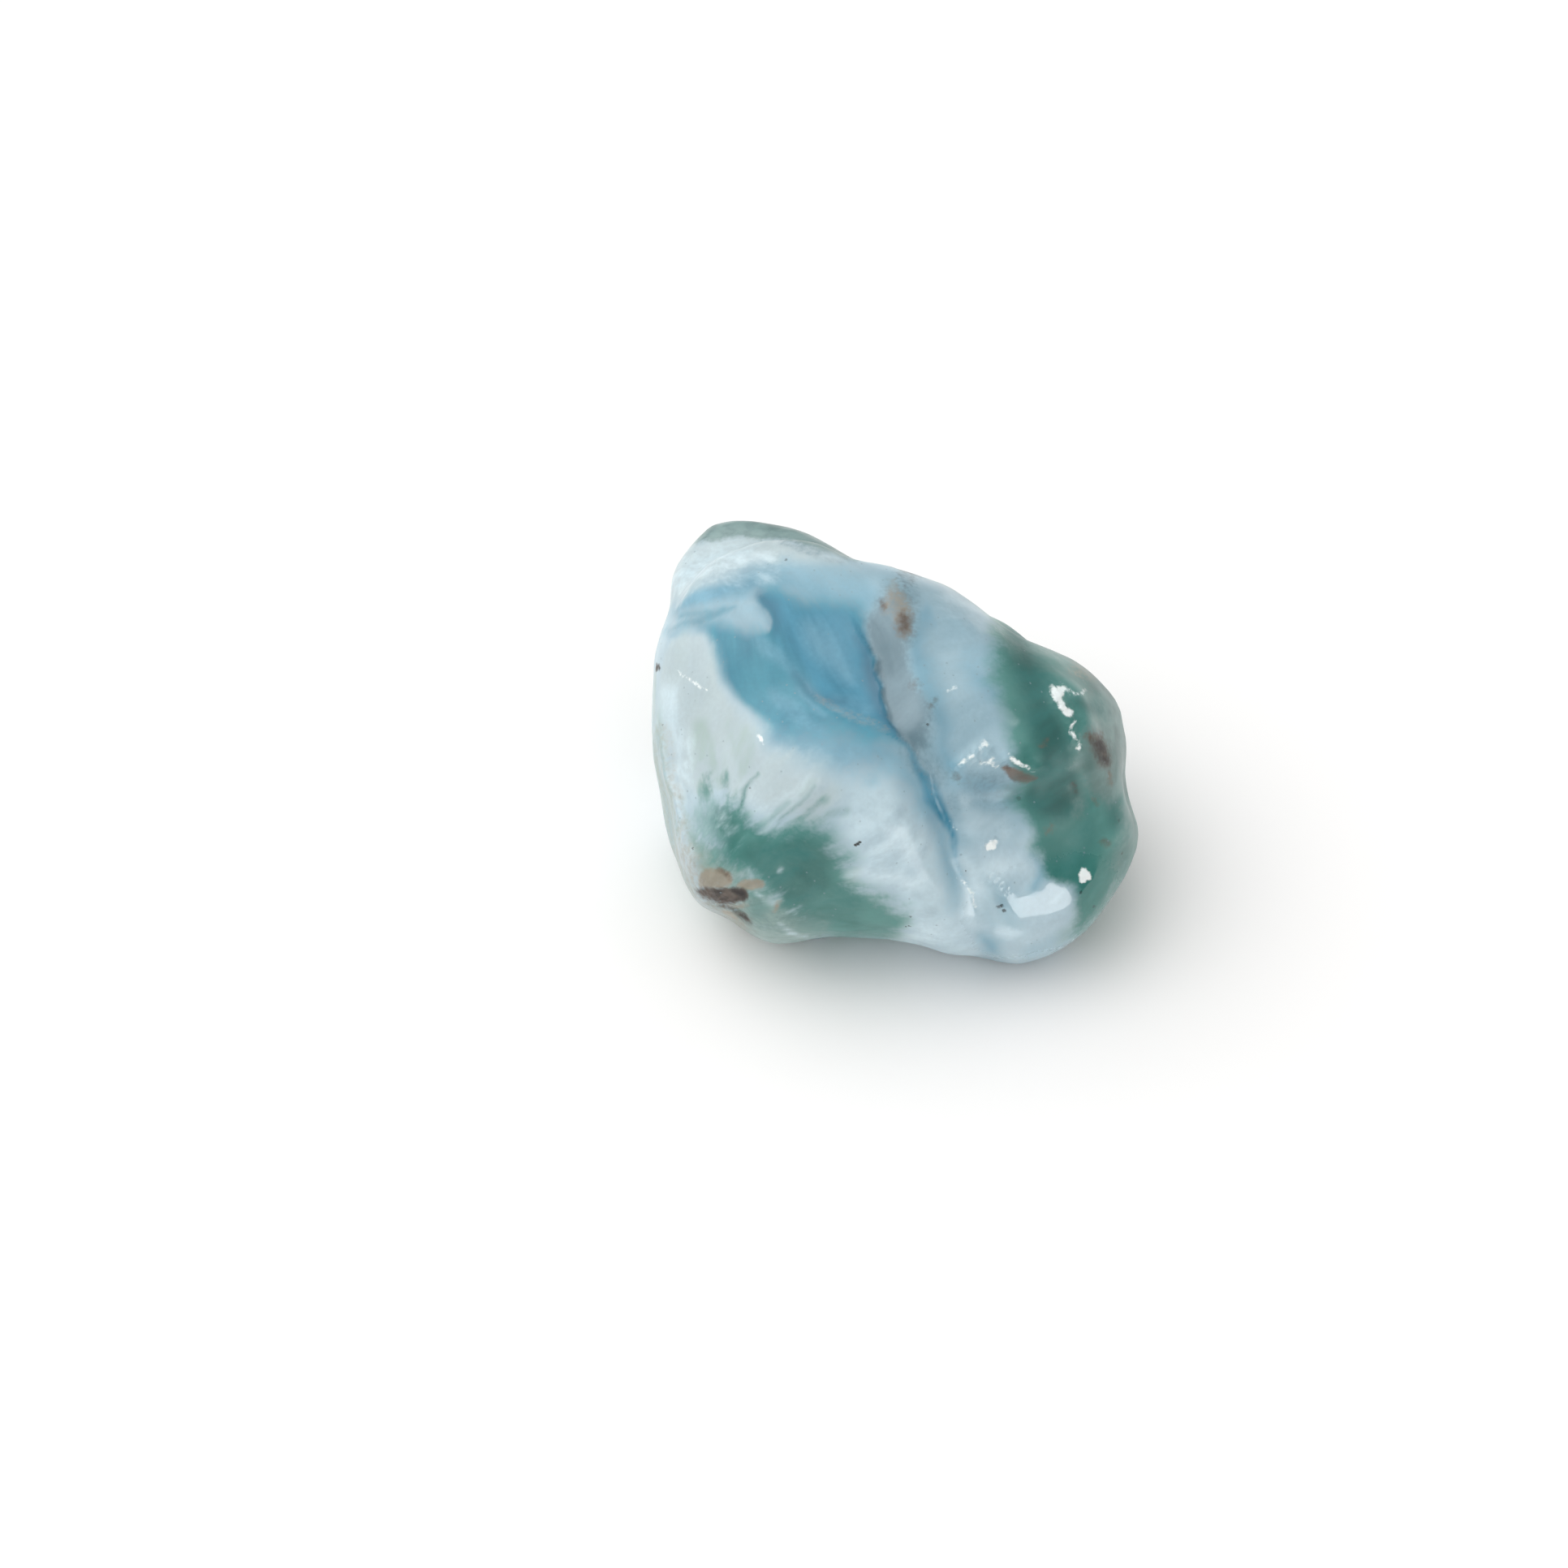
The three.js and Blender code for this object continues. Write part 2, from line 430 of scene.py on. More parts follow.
@dataclass(frozen=True)
class Streak:
    """A band along a route on the show side. Each stop is (right, up, half width)."""

    route: tuple[tuple[float, float, float], ...]
    softness: float = 0.5
    most: float = 4.0
    wrap: float = -0.15

    def depth(self, ground: Ground) -> np.ndarray:
        """Returns how far inside the band each point is, in softnesses, negative outside."""
        route = curve_through(np.array(self.route), closed=False, steps=ROUTE_STEPS)
        near = ground.near(route, route[:, 2].max() - FAR_OUT * self.softness, self.wrap)
        found = nearest_on(route, ground.seen_drifted[near])
        depth = np.full(len(ground.points), FAR_OUT)
        depth[near] = (found.carried[:, 0] - found.gap) / self.softness
        return ground.cut(depth, self.most, self.wrap)


@dataclass(frozen=True)
class Trail:
    """Blooms in a row on any side. Each stop is (clock, lean, radius); one stop is a single bloom."""

    stops: tuple[tuple[float, float, float], ...]
    softness: float = 1.0
    most: float = 4.0

    def depth(self, ground: Ground) -> np.ndarray:
        """Returns how far inside the blooms each point is, in softnesses, negative outside."""
        stops = np.array(self.stops)
        line = curve_through(stops, closed=False, steps=TRAIL_STEPS) if len(stops) > 1 else stops
        depth = np.full(len(ground.points), FAR_OUT)
        for clock, lean, radius in line:
            gap = np.linalg.norm(ground.drifted - ground.surface(clock, lean), axis=1)
            depth = np.maximum(depth, (radius - gap) / self.softness)
        return np.clip(depth, FAR_OUT, self.most)


Mark = Patch | Streak | Trail


class Field(Enum):
    """The mesh attributes that say where each tint, the broken places and the polished nose lie."""

    MIST = "mist"
    SKY = "sky"
    TEAL = "teal"
    BLUE = "blue"
    PALE_BLUE = "pale_blue"
    DEEP_BLUE = "deep_blue"
    MILK = "milk"
    PALE_GREEN = "pale_green"
    GREEN = "green"
    DEEP_GREEN = "deep_green"
    SAGE = "sage"
    VEIN = "vein"
    WHITE = "white"
    CREAM = "cream"
    RUST = "rust"
    BROWN = "brown"
    UMBER = "umber"
    # Painted glints: highlights painted white into the colour.
    BRUISE = "bruise"
    CHIPPED = "chipped"
    POLISHED = "polished"


MARKS: dict[Field, tuple[Mark, ...]] = {
    # Thin grey-blue haze over the white: along the top, in the hollow and right of the vein; and painted
    # shade on the nose's lower right, its shadow side.
    Field.MIST: (
        Patch((
            (-13.9, 9.0, 0.8), (-12.6, 10.8, 0.9), (-9.6, 12.0, 1.1), (-5.5, 12.9, 1.0), (-2.0, 12.3, 0.9),
            (1.0, 12.0, 0.8), (4.4, 10.9, 1.0), (7.4, 9.2, 0.8), (9.0, 5.0, 1.2), (10.4, 0.6, 1.2),
            (10.6, -3.6, 1.2), (8.8, -5.2, 1.5), (6.4, -5.2, 1.5), (5.2, -6.6, 1.2), (4.4, -5.0, 1.2),
            (3.0, -3.2, 1.5), (1.0, -1.2, 1.7), (-1.6, -0.4, 1.7), (-4.6, -0.2, 1.6), (-7.0, 1.0, 1.2),
            (-9.4, 4.2, 0.8), (-10.4, 7.0, 0.8), (-12.4, 8.3, 0.6),
        )),
        Streak(((6.6, -8.0, 0.4), (7.6, -9.1, 0.6), (8.2, -10.6, 0.4)), 1.2),
        Streak(((4.6, -6.4, 0.3), (5.2, -8.0, 0.4), (6.2, -9.6, 0.5), (6.9, -11.4, 0.5)), 1.0, most=0.0),
        # Painted shade: grey-blue darkening the lower right of the nose, on its shadow side.
        Streak(((9.4, -12.6, 0.3), (11.4, -11.8, 0.5), (12.6, -10.8, 0.3)), 0.9, most=0.2),
        Streak(((6.2, -11.4, 0.2), (7.0, -12.2, 0.5), (7.6, -12.8, 0.3)), 1.0),
        Streak(((-12.8, 6.6, 0.2), (-12.4, 4.4, 0.4), (-12.6, 2.8, 0.2)), 1.2, most=0.0),
        Trail((
            (156, 96, 3.0), (148, 106, 4.0), (120, 120, 4.0), (100, 140, 4.0), (80, 120, 4.0),
            (95, 95, 4.0),
        ), 2.0),
        Trail(((200, 80, 2.0), (205, 100, 3.0), (220, 120, 3.0)), 2.0),
    ),
    Field.SKY: (
        Patch((
            (-13.4, 9.3, 0.5), (-12.4, 10.2, 0.5), (-11.0, 10.8, 0.5), (-9.4, 11.2, 0.6), (-8.4, 12.0, 0.8),
            (-6.8, 12.3, 1.2), (-4.8, 12.0, 1.4), (-2.6, 11.4, 1.4), (-0.8, 10.9, 1.0), (0.0, 10.1, 0.9),
            (-0.6, 9.1, 0.8), (-2.2, 9.2, 0.8), (-4.2, 9.8, 0.8), (-6.2, 10.4, 0.8), (-7.9, 10.4, 0.5),
            (-8.8, 10.0, 0.5), (-10.4, 9.8, 0.5), (-12.4, 9.4, 0.4),
        )),
        Streak((
            (-7.0, 1.2, 0.6), (-4.8, 0.6, 1.1), (-2.4, 0.4, 1.3), (-0.2, 0.3, 1.0), (1.2, -0.4, 0.5),
        ), 1.5),
        Streak((
            (1.4, -0.8, 0.3), (2.4, -2.2, 0.4), (3.2, -3.8, 0.5), (3.9, -5.6, 0.3), (4.4, -7.6, 0.2),
            (4.8, -9.4, 0.1),
        ), 1.2, most=0.3),
        Streak(((5.6, 6.5, 0.2), (6.6, 6.1, 0.5), (7.2, 5.0, 0.3)), 1.0, most=-0.2),
        Streak((
            (2.7, 9.2, 0.1), (2.5, 8.2, 0.4), (2.2, 7.0, 0.6), (2.5, 5.2, 0.9), (3.2, 3.4, 0.7),
            (4.0, 1.8, 0.5), (4.0, 0.6, 0.3), (4.8, -1.4, 0.5), (6.4, -2.0, 0.9), (8.2, -2.5, 0.7),
        ), 0.9),
        Streak(((5.4, 5.8, 0.1), (6.2, 5.0, 0.4), (7.0, 4.0, 0.3)), 1.2, most=0.2),
        Streak(((9.6, -6.4, 0.1), (10.2, -7.4, 0.4), (9.8, -8.4, 0.2)), 0.8),
        Streak(((6.4, -11.6, 0.1), (7.0, -12.3, 0.3)), 0.7),
        Streak(((-11.6, 8.2, 0.1), (-10.7, 7.9, 0.3), (-10.4, 6.8, 0.1)), 0.7),
        Streak(((-10.2, 9.2, 0.3), (-9.0, 8.9, 0.6), (-7.9, 8.6, 0.4)), 0.6, most=-0.4),
        Streak(((-6.4, 0.6, 0.3), (-4.5, 0.1, 0.6), (-2.6, -0.2, 0.5), (-0.6, -0.6, 0.3)), 1.4, most=-0.2),
        Trail(((150, 100, 2.4), (125, 118, 3.2), (100, 136, 3.4), (85, 122, 2.6)), 1.6),
    ),
    Field.TEAL: (
        Patch((
            (-8.0, 10.2, 0.35), (-7.2, 10.7, 0.7), (-6.0, 10.3, 0.8), (-4.6, 9.9, 0.8), (-3.0, 9.9, 0.8),
            (-1.6, 9.8, 0.7), (-1.0, 8.9, 0.5), (-1.2, 7.9, 0.3), (-0.8, 6.8, 0.2), (-0.4, 6.2, 0.16),
            (-0.3, 5.3, 0.16), (0.0, 4.5, 0.16), (-0.08, 3.8, 0.16), (0.15, 3.1, 0.16), (0.4, 2.3, 0.18),
            (1.0, 1.5, 0.2), (1.5, 0.7, 0.3), (0.6, 0.9, 0.8), (-0.8, 1.2, 1.1), (-2.6, 1.4, 1.2),
            (-4.4, 1.3, 1.2), (-5.8, 1.2, 1.0), (-6.7, 1.6, 0.7), (-7.5, 2.4, 0.5), (-8.6, 3.2, 0.45),
            (-9.5, 4.0, 0.45), (-10.1, 4.9, 0.5), (-10.4, 5.8, 0.6), (-10.6, 6.9, 0.6), (-11.0, 7.7, 0.6),
            (-11.0, 8.3, 0.7), (-10.4, 8.5, 0.7), (-9.4, 8.3, 0.7), (-8.2, 8.1, 0.6), (-7.3, 7.95, 0.2),
            (-7.1, 8.5, 0.14), (-7.3, 9.0, 0.14), (-7.6, 9.5, 0.16),
        )),
        Streak((
            (-13.6, 8.1, 0.02), (-12.4, 8.5, 0.1), (-11.3, 8.8, 0.16), (-10.3, 9.2, 0.1), (-9.4, 9.5, 0.02),
        ), 0.4, most=0.0),
        Streak(((-12.9, 8.9, 0.0), (-11.7, 9.1, 0.05), (-10.7, 9.2, 0.02)), 0.35, most=-0.1),
        Streak(((-13.6, 7.9, 0.05), (-12.4, 8.0, 0.2), (-11.4, 8.2, 0.2)), 0.5, most=-0.2),
        Trail(((118, 122, 1.6), (104, 136, 2.2), (90, 128, 1.6)), 1.2),
    ),
    Field.BLUE: (
        Patch((
            (-7.7, 10.0, 0.4), (-6.4, 10.1, 0.9), (-4.8, 9.7, 0.8), (-3.0, 9.5, 0.8), (-1.8, 9.2, 0.7),
            (-1.2, 8.2, 0.4), (-0.7, 6.4, 0.2), (-0.3, 5.2, 0.2), (0.0, 4.4, 0.2), (0.1, 3.2, 0.2),
            (0.5, 2.2, 0.25), (1.1, 1.3, 0.3), (0.2, 1.8, 0.7), (-1.2, 2.3, 0.7), (-2.6, 2.9, 0.7),
            (-3.8, 3.8, 0.7), (-4.9, 5.0, 0.8), (-5.8, 6.2, 0.9), (-6.4, 7.4, 0.8), (-6.9, 8.6, 0.5),
        )),
        Streak((
            (1.0, 1.5, 0.1), (1.7, 0.5, 0.12), (2.3, -0.8, 0.22), (2.95, -1.8, 0.38), (3.5, -2.9, 0.48),
            (4.1, -4.0, 0.36), (4.5, -4.9, 0.18), (4.75, -6.2, 0.06), (5.2, -8.2, 0.0),
        ), 0.3),
        Trail(((110, 130, 1.2), (98, 134, 1.4)), 1.2),
    ),
    Field.PALE_BLUE: (
        Patch((
            (-4.9, 8.7, 0.8), (-3.9, 8.4, 0.8), (-3.0, 7.4, 0.7), (-2.4, 6.4, 0.7), (-1.9, 5.4, 0.7),
            (-1.8, 4.7, 0.7), (-2.4, 4.8, 0.7), (-3.3, 5.6, 0.7), (-4.2, 6.4, 0.6), (-4.9, 7.5, 0.7),
        )),
        Streak(((-8.4, 7.7, 0.05), (-7.4, 7.0, 0.3), (-6.2, 6.0, 0.2), (-5.3, 5.0, 0.0)), 0.6, most=0.0),
        Streak(((-6.9, 4.0, 0.1), (-5.9, 3.2, 0.35), (-4.9, 2.3, 0.3), (-4.0, 1.8, 0.1)), 0.6, most=0.0),
        Streak(((-5.4, 4.4, 0.0), (-4.5, 3.4, 0.1), (-3.6, 2.7, 0.0)), 0.4, most=0.2),
        Streak(((-3.0, 3.6, 0.1), (-1.8, 3.2, 0.4), (-0.9, 2.8, 0.2)), 0.6, most=0.4),
        Streak((
            (-5.4, 5.4, 0.0), (-4.2, 4.0, 0.05), (-2.8, 3.0, 0.07), (-1.2, 2.4, 0.05), (0.4, 1.5, 0.0),
        ), 0.2, most=0.6),
        Streak(((-12.2, 9.9, 0.1), (-10.8, 10.4, 0.25), (-9.4, 10.7, 0.1)), 0.5, most=0.0),
        Streak(((2.9, 9.2, 0.1), (3.1, 8.6, 0.2)), 0.6, most=-0.2),
    ),
    Field.DEEP_BLUE: (
        Streak(((-7.9, 10.2, 0.1), (-7.4, 9.8, 0.25), (-7.0, 9.0, 0.2), (-6.8, 8.0, 0.1)), 0.7, most=0.2),
        Streak((
            (-1.7, 7.6, 0.0), (-1.1, 6.7, 0.2), (-0.65, 5.4, 0.45), (-0.45, 4.2, 0.5), (-0.2, 3.1, 0.4),
            (0.4, 2.1, 0.3), (1.1, 1.3, 0.15),
        ), 0.6),
        Streak(((-5.6, 5.2, 0.0), (-4.6, 4.2, 0.12), (-3.4, 3.6, 0.1), (-2.4, 3.4, 0.0)), 0.6, most=0.0),
    ),
    # Neutral white: the left lobe and the left of the front.
    Field.MILK: (
        Patch((
            (-13.9, 6.9, 0.5), (-12.8, 7.7, 0.4), (-11.6, 8.0, 0.4), (-10.9, 7.2, 0.6), (-10.8, 6.0, 0.7),
            (-10.4, 4.6, 0.7), (-9.6, 3.6, 0.7), (-8.4, 2.4, 0.8), (-7.4, 1.0, 1.0), (-5.8, 0.0, 1.2),
            (-4.0, -0.8, 1.4), (-3.0, -2.4, 1.4), (-3.8, -4.2, 1.2), (-6.6, -4.0, 1.0), (-8.6, -3.2, 0.8),
            (-10.6, -2.2, 0.8), (-12.8, -2.4, 0.8), (-13.8, 0.0, 0.6), (-14.3, 3.4, 0.5),
        )),
        Streak(((-12.4, -4.4, 0.3), (-12.2, -5.8, 0.4), (-10.8, -6.8, 0.2)), 0.8),
        Patch((
            (-14.4, 9.6, 0.5), (-14.4, 12.0, 0.5), (-12.6, 14.0, 0.5), (-11.2, 13.9, 0.4),
            (-9.0, 14.0, 0.4), (-6.4, 14.0, 0.4), (-4.2, 13.5, 0.4), (-2.2, 12.8, 0.4), (-3.4, 12.4, 0.5),
            (-6.0, 12.6, 0.6), (-8.4, 12.2, 0.7), (-10.4, 11.6, 0.6), (-12.0, 10.8, 0.5), (-13.2, 9.8, 0.5),
        ), wrap=-0.7),
    ),
    # Where the green thins out: the left flank, under the left corner, and the right edge.
    Field.PALE_GREEN: (
        Streak((
            (-14.9, 5.0, 0.3), (-14.8, 2.0, 0.6), (-14.5, -1.0, 0.8), (-14.1, -3.6, 0.8),
            (-13.6, -6.6, 0.7), (-12.4, -8.6, 0.5),
        ), 0.45, most=0.2, wrap=-0.6),
        Streak(((-11.6, 1.8, 0.1), (-11.2, 0.2, 0.3), (-10.9, -1.6, 0.4)), 0.8, most=-0.2),
        Streak(((-9.4, 2.0, 0.1), (-8.8, 0.6, 0.3), (-8.6, -0.8, 0.1)), 0.8, most=-0.4),
        Streak(((-5.2, -2.4, 0.0), (-4.4, -1.6, 0.1)), 0.4, most=-0.2),
        Patch((
            (-9.0, -8.8, 0.5), (-8.2, -8.2, 0.6), (-6.6, -8.8, 0.8), (-5.2, -9.8, 0.8), (-4.0, -11.0, 0.7),
            (-5.6, -12.8, 0.8), (-8.6, -12.4, 0.8), (-9.8, -11.0, 0.6),
        ), most=1.0),
        Patch((
            (-12.4, -5.2, 0.5), (-11.2, -5.6, 0.6), (-9.8, -6.4, 0.6), (-8.6, -7.2, 0.6), (-8.0, -8.6, 0.6),
            (-9.2, -9.2, 0.6), (-10.4, -8.6, 0.6), (-11.8, -7.6, 0.5),
        ), most=0.8),
        Streak(((-3.4, -7.6, 0.1), (-2.2, -7.8, 0.3), (-1.6, -7.4, 0.0)), 0.6, most=0.3),
        Streak(((-2.2, -9.2, 0.3), (-0.4, -10.0, 0.5), (0.8, -11.0, 0.3)), 1.2, most=0.0),
        Streak((
            (11.6, -11.2, 0.3), (13.2, -10.0, 0.5), (14.6, -8.2, 0.6), (15.8, -5.8, 0.5), (16.4, -3.8, 0.4),
        ), 0.9, wrap=-0.45),
        Streak(((13.0, -7.6, 0.5), (14.0, -6.8, 0.7), (15.0, -5.8, 0.4), (15.4, -4.4, 0.3)), 0.9, most=1.0),
        Trail(((196, 96, 3.0), (215, 104, 3.4), (236, 110, 3.0), (222, 92, 2.0)), 1.4, most=0.8),
        Trail(((60, 92, 3.0), (48, 108, 3.0), (62, 128, 2.4)), 1.6, most=0.6),
    ),
    Field.GREEN: (
        Patch((
            (-11.8, -3.6, 1.4), (-11.0, -3.1, 1.2), (-10.2, -3.2, 1.0), (-9.5, -3.0, 0.9),
            (-8.8, -3.5, 0.8), (-8.3, -4.1, 0.8), (-7.4, -4.4, 0.9), (-6.4, -4.6, 1.0), (-5.4, -4.4, 1.1),
            (-4.2, -4.3, 1.1), (-3.4, -4.7, 1.1), (-2.9, -5.4, 1.1), (-2.1, -6.3, 1.1), (-2.1, -7.2, 1.0),
            (-2.2, -7.9, 0.9), (-1.3, -8.4, 0.9), (-0.3, -8.8, 1.0), (0.6, -9.4, 1.0), (1.4, -10.2, 1.0),
            (1.4, -11.0, 0.9), (0.2, -11.8, 0.8), (-2.4, -12.2, 0.9), (-4.4, -11.3, 1.0),
            (-5.8, -10.2, 1.0), (-6.8, -9.2, 1.0), (-7.6, -8.6, 0.9), (-8.3, -7.8, 0.8), (-9.6, -7.4, 0.9),
            (-10.6, -6.6, 1.1), (-11.2, -5.9, 1.3), (-11.8, -4.8, 1.4),
        )),
        Streak((
            (-9.3, -3.6, 0.14), (-8.95, -2.5, 0.12), (-8.5, -1.8, 0.08), (-7.9, -1.1, 0.0),
        ), 0.22, most=0.8),
        Streak((
            (-6.6, -4.3, 0.12), (-5.9, -3.6, 0.08), (-5.1, -2.8, 0.04), (-4.3, -2.0, 0.0),
        ), 0.3, most=0.0),
        Streak(((-7.4, -4.6, 0.2), (-6.8, -3.8, 0.1), (-6.0, -2.9, 0.0)), 0.4, most=-0.1),
        Streak(((-5.6, -4.5, 0.2), (-4.8, -3.6, 0.1), (-3.8, -2.8, 0.0)), 0.5, most=-0.1),
        Streak(((-4.4, -4.6, 0.2), (-3.6, -4.0, 0.1), (-2.4, -3.4, 0.0)), 0.5, most=-0.2),
        Streak(((-10.3, -3.4, 0.2), (-10.1, -2.4, 0.1), (-10.0, -1.2, 0.0)), 0.4, most=-0.1),
        Streak(((-11.4, -3.0, 0.2), (-11.2, -2.0, 0.1), (-11.1, -1.0, 0.0)), 0.5, most=0.0),
        Streak(((-9.2, -8.0, 0.3), (-8.4, -8.2, 0.6), (-7.8, -8.9, 0.6), (-8.0, -9.8, 0.4)), 0.7, most=0.2),
        Patch((
            (7.0, 8.9, 0.8), (7.1, 7.4, 0.8), (7.2, 6.2, 0.9), (7.2, 5.1, 1.0), (7.3, 4.1, 1.0),
            (7.5, 3.1, 0.9), (7.9, 2.2, 0.8), (8.3, 1.2, 0.7), (8.3, 0.3, 0.6), (8.2, -0.3, 0.4),
            (8.6, -1.4, 0.4), (7.9, -2.3, 0.7), (8.3, -3.3, 0.7), (9.2, -4.0, 0.6), (9.6, -4.8, 0.5),
            (9.4, -5.8, 0.6), (10.0, -6.8, 0.5), (10.8, -7.9, 0.5), (12.0, -8.2, 0.5), (12.3, -9.6, 0.6),
            (12.6, -11.4, 0.8), (15.6, -8.6, 1.0), (17.4, -4.6, 1.0), (16.6, -0.6, 1.0), (15.8, 3.4, 1.0),
            (13.4, 6.8, 0.8), (10.6, 8.0, 0.6), (8.6, 9.2, 0.6),
        ), wrap=-0.45),
        Trail((
            (30, 84, 4.5), (14, 96, 5.0), (-10, 104, 5.0), (-30, 112, 4.0), (-60, 118, 3.5),
            (-85, 120, 3.5), (-115, 120, 3.0),
        ), 1.6),
        Trail(((104, 104, 1.8), (110, 112, 3.2), (120, 120, 2.8), (130, 127, 1.8)), 1.8, most=1.6),
        Trail(((90, 110, 1.2), (84, 122, 2.0), (82, 134, 1.6)), 1.6, most=1.0),
        Trail(((166, 112, 1.4), (160, 124, 2.4), (170, 136, 2.2)), 1.8, most=1.0),
        Trail(((205, 112, 1.5), (212, 124, 2.5), (222, 134, 2.5)), 1.8, most=1.4),
        Trail(((22, 110, 4.0), (30, 132, 4.0), (20, 155, 3.5)), 1.6),
        Trail(((138, 108, 2.2), (146, 116, 1.8), (150, 124, 1.2)), 1.2),
    ),
    Field.DEEP_GREEN: (
        Streak(((10.4, -0.6, 0.2), (11.1, -1.5, 0.5), (11.5, -2.6, 0.4)), 0.8),
        Patch((
            (-8.6, -6.2, 0.9), (-7.2, -5.9, 0.9), (-5.6, -5.5, 0.9), (-4.2, -5.6, 0.9), (-3.4, -6.2, 0.9),
            (-3.6, -7.2, 0.8), (-3.8, -8.6, 0.8), (-5.0, -9.2, 0.9), (-6.4, -8.6, 0.9), (-7.6, -7.4, 0.8),
        ), most=0.1),
        Streak(((-6.4, -6.6, 0.1), (-5.2, -7.6, 0.5), (-4.2, -8.4, 0.2)), 1.0, most=1.0),
        Streak(((-5.4, -9.5, 0.4), (-3.6, -9.4, 0.6), (-2.2, -9.4, 0.4)), 1.2, most=-0.3),
        Streak(((-10.4, -3.6, 0.0), (-9.8, -4.6, 0.2)), 0.8, most=-0.3),
        Patch((
            (7.9, 7.9, 0.7), (8.2, 6.4, 0.9), (8.5, 5.0, 1.0), (9.0, 3.6, 1.0), (9.0, 2.6, 0.9),
            (9.5, 1.6, 0.7), (9.9, 0.5, 0.5), (10.0, -0.6, 0.5), (9.4, -1.6, 0.5), (9.0, -2.7, 0.6),
            (10.2, -4.0, 0.7), (11.8, -4.2, 0.8), (13.0, -2.8, 0.8), (12.8, -1.2, 0.6), (12.2, 0.2, 0.5),
            (11.9, 1.4, 0.5), (11.2, 2.8, 0.6), (10.8, 4.2, 0.8), (10.4, 5.6, 0.9), (9.6, 7.0, 0.7),
            (8.8, 7.9, 0.7),
        ), most=1.8),
        Patch((
            (10.4, -5.4, 0.7), (11.6, -4.6, 0.8), (12.6, -4.0, 0.8), (13.2, -4.6, 0.8), (13.0, -5.8, 0.9),
            (12.4, -7.0, 0.9), (11.6, -7.7, 0.7), (10.7, -7.2, 0.6),
        ), most=-0.3),
        Streak(((12.6, 3.4, 0.1), (13.4, 3.2, 0.3), (14.0, 2.8, 0.1)), 0.7, most=0.2),
        Streak(((14.6, -2.8, 0.1), (15.0, -4.0, 0.2)), 0.8, most=0.2),
        Trail(((18, 92, 2.6), (5, 100, 2.8), (-15, 106, 2.4)), 1.6, most=1.0),
        Trail(((108, 110, 0.8), (116, 118, 1.6)), 1.6, most=0.4),
        Trail(((26, 118, 2.0), (30, 134, 2.4), (22, 150, 1.6)), 1.6, most=1.0),
        # Painted shade: dark green across the shaded underside of the front, which deepens the contact
        # shadow under it.
        Trail(((318, 118, 2.4), (295, 124, 3.0), (270, 126, 3.0), (246, 122, 2.0)), 1.4),
    ),
    Field.SAGE: (
        Patch((
            (-12.2, 13.9, 0.4), (-11.2, 13.8, 0.3), (-9.7, 13.95, 0.22), (-8.1, 13.8, 0.2),
            (-6.8, 13.9, 0.2), (-5.6, 13.7, 0.2), (-4.3, 13.3, 0.22), (-3.2, 12.95, 0.25),
            (-1.8, 12.6, 0.3), (-1.2, 13.6, 0.6), (-5.0, 16.4, 1.0), (-10.0, 17.4, 1.0), (-12.4, 15.6, 0.8),
        ), wrap=-0.7),
        Patch((
            (12.6, 6.6, 0.8), (12.6, 5.4, 0.7), (13.2, 4.7, 0.6), (13.2, 4.0, 0.6), (13.8, 3.7, 0.7),
            (13.9, 2.6, 0.8), (13.2, 1.6, 0.6), (12.6, 0.4, 0.6), (12.2, -0.8, 0.5), (13.0, -1.4, 0.5),
            (13.6, -2.6, 0.6), (15.0, -2.8, 0.8), (16.8, -1.0, 1.0), (16.4, 3.0, 1.0), (14.4, 6.4, 1.0),
        ), wrap=-0.45),
        Streak(((12.2, -2.2, 0.1), (12.6, -3.0, 0.2), (12.4, -3.8, 0.1)), 0.6, most=0.0),
        Streak(((15.6, -3.4, 0.2), (16.0, -5.0, 0.3), (15.2, -6.8, 0.3)), 0.8, most=0.4),
        Streak(((-10.8, -9.5, 0.2), (-9.4, -10.5, 0.4), (-8.4, -11.2, 0.4)), 0.6, most=0.2),
        Streak((
            (-9.2, -9.6, 0.3), (-7.6, -10.4, 0.7), (-6.0, -11.2, 0.6), (-4.2, -11.0, 0.4),
        ), 1.0, most=-0.1),
        Trail(((106, 92, 2.2), (114, 100, 2.4), (122, 110, 2.2)), 1.2),
        Trail(((38, 92, 2.4), (26, 90, 2.0)), 1.4, most=0.6),
        Trail(((70, 146, 2.4), (58, 156, 3.0), (100, 165, 3.0)), 1.6, most=0.8),
    ),
    Field.VEIN: (
        Patch((
            (0.5, 10.9, 0.9), (0.1, 10.3, 0.7), (-0.5, 9.5, 0.5), (-1.1, 8.4, 0.4), (-0.9, 7.1, 0.3),
            (-0.3, 6.2, 0.2), (-0.4, 5.6, 0.15), (-0.1, 5.1, 0.15), (0.15, 4.6, 0.15), (-0.1, 4.1, 0.15),
            (0.05, 3.5, 0.15), (0.4, 3.1, 0.15), (0.3, 2.5, 0.18), (0.9, 1.9, 0.2), (1.1, 1.3, 0.25),
            (1.6, 0.8, 0.4), (2.2, 0.4, 0.7), (3.0, 0.8, 0.8), (3.1, 2.2, 0.7), (2.8, 3.4, 0.6),
            (2.2, 4.6, 0.6), (1.8, 5.8, 0.6), (1.8, 7.0, 0.7), (2.2, 8.4, 0.6), (2.0, 9.8, 0.7),
            (1.6, 10.8, 0.9),
        )),
        Streak(((1.7, 0.5, 0.3), (2.6, -0.2, 0.6), (3.4, -1.2, 0.4)), 0.7, most=-0.3),
        Streak(((5.8, -1.7, 0.3), (6.9, -2.0, 0.7), (8.2, -2.2, 0.4)), 0.9, most=-0.1),
        Streak(((5.2, -3.0, 0.3), (6.2, -3.5, 0.6), (7.2, -3.2, 0.3)), 1.0, most=-0.5),
        Streak((
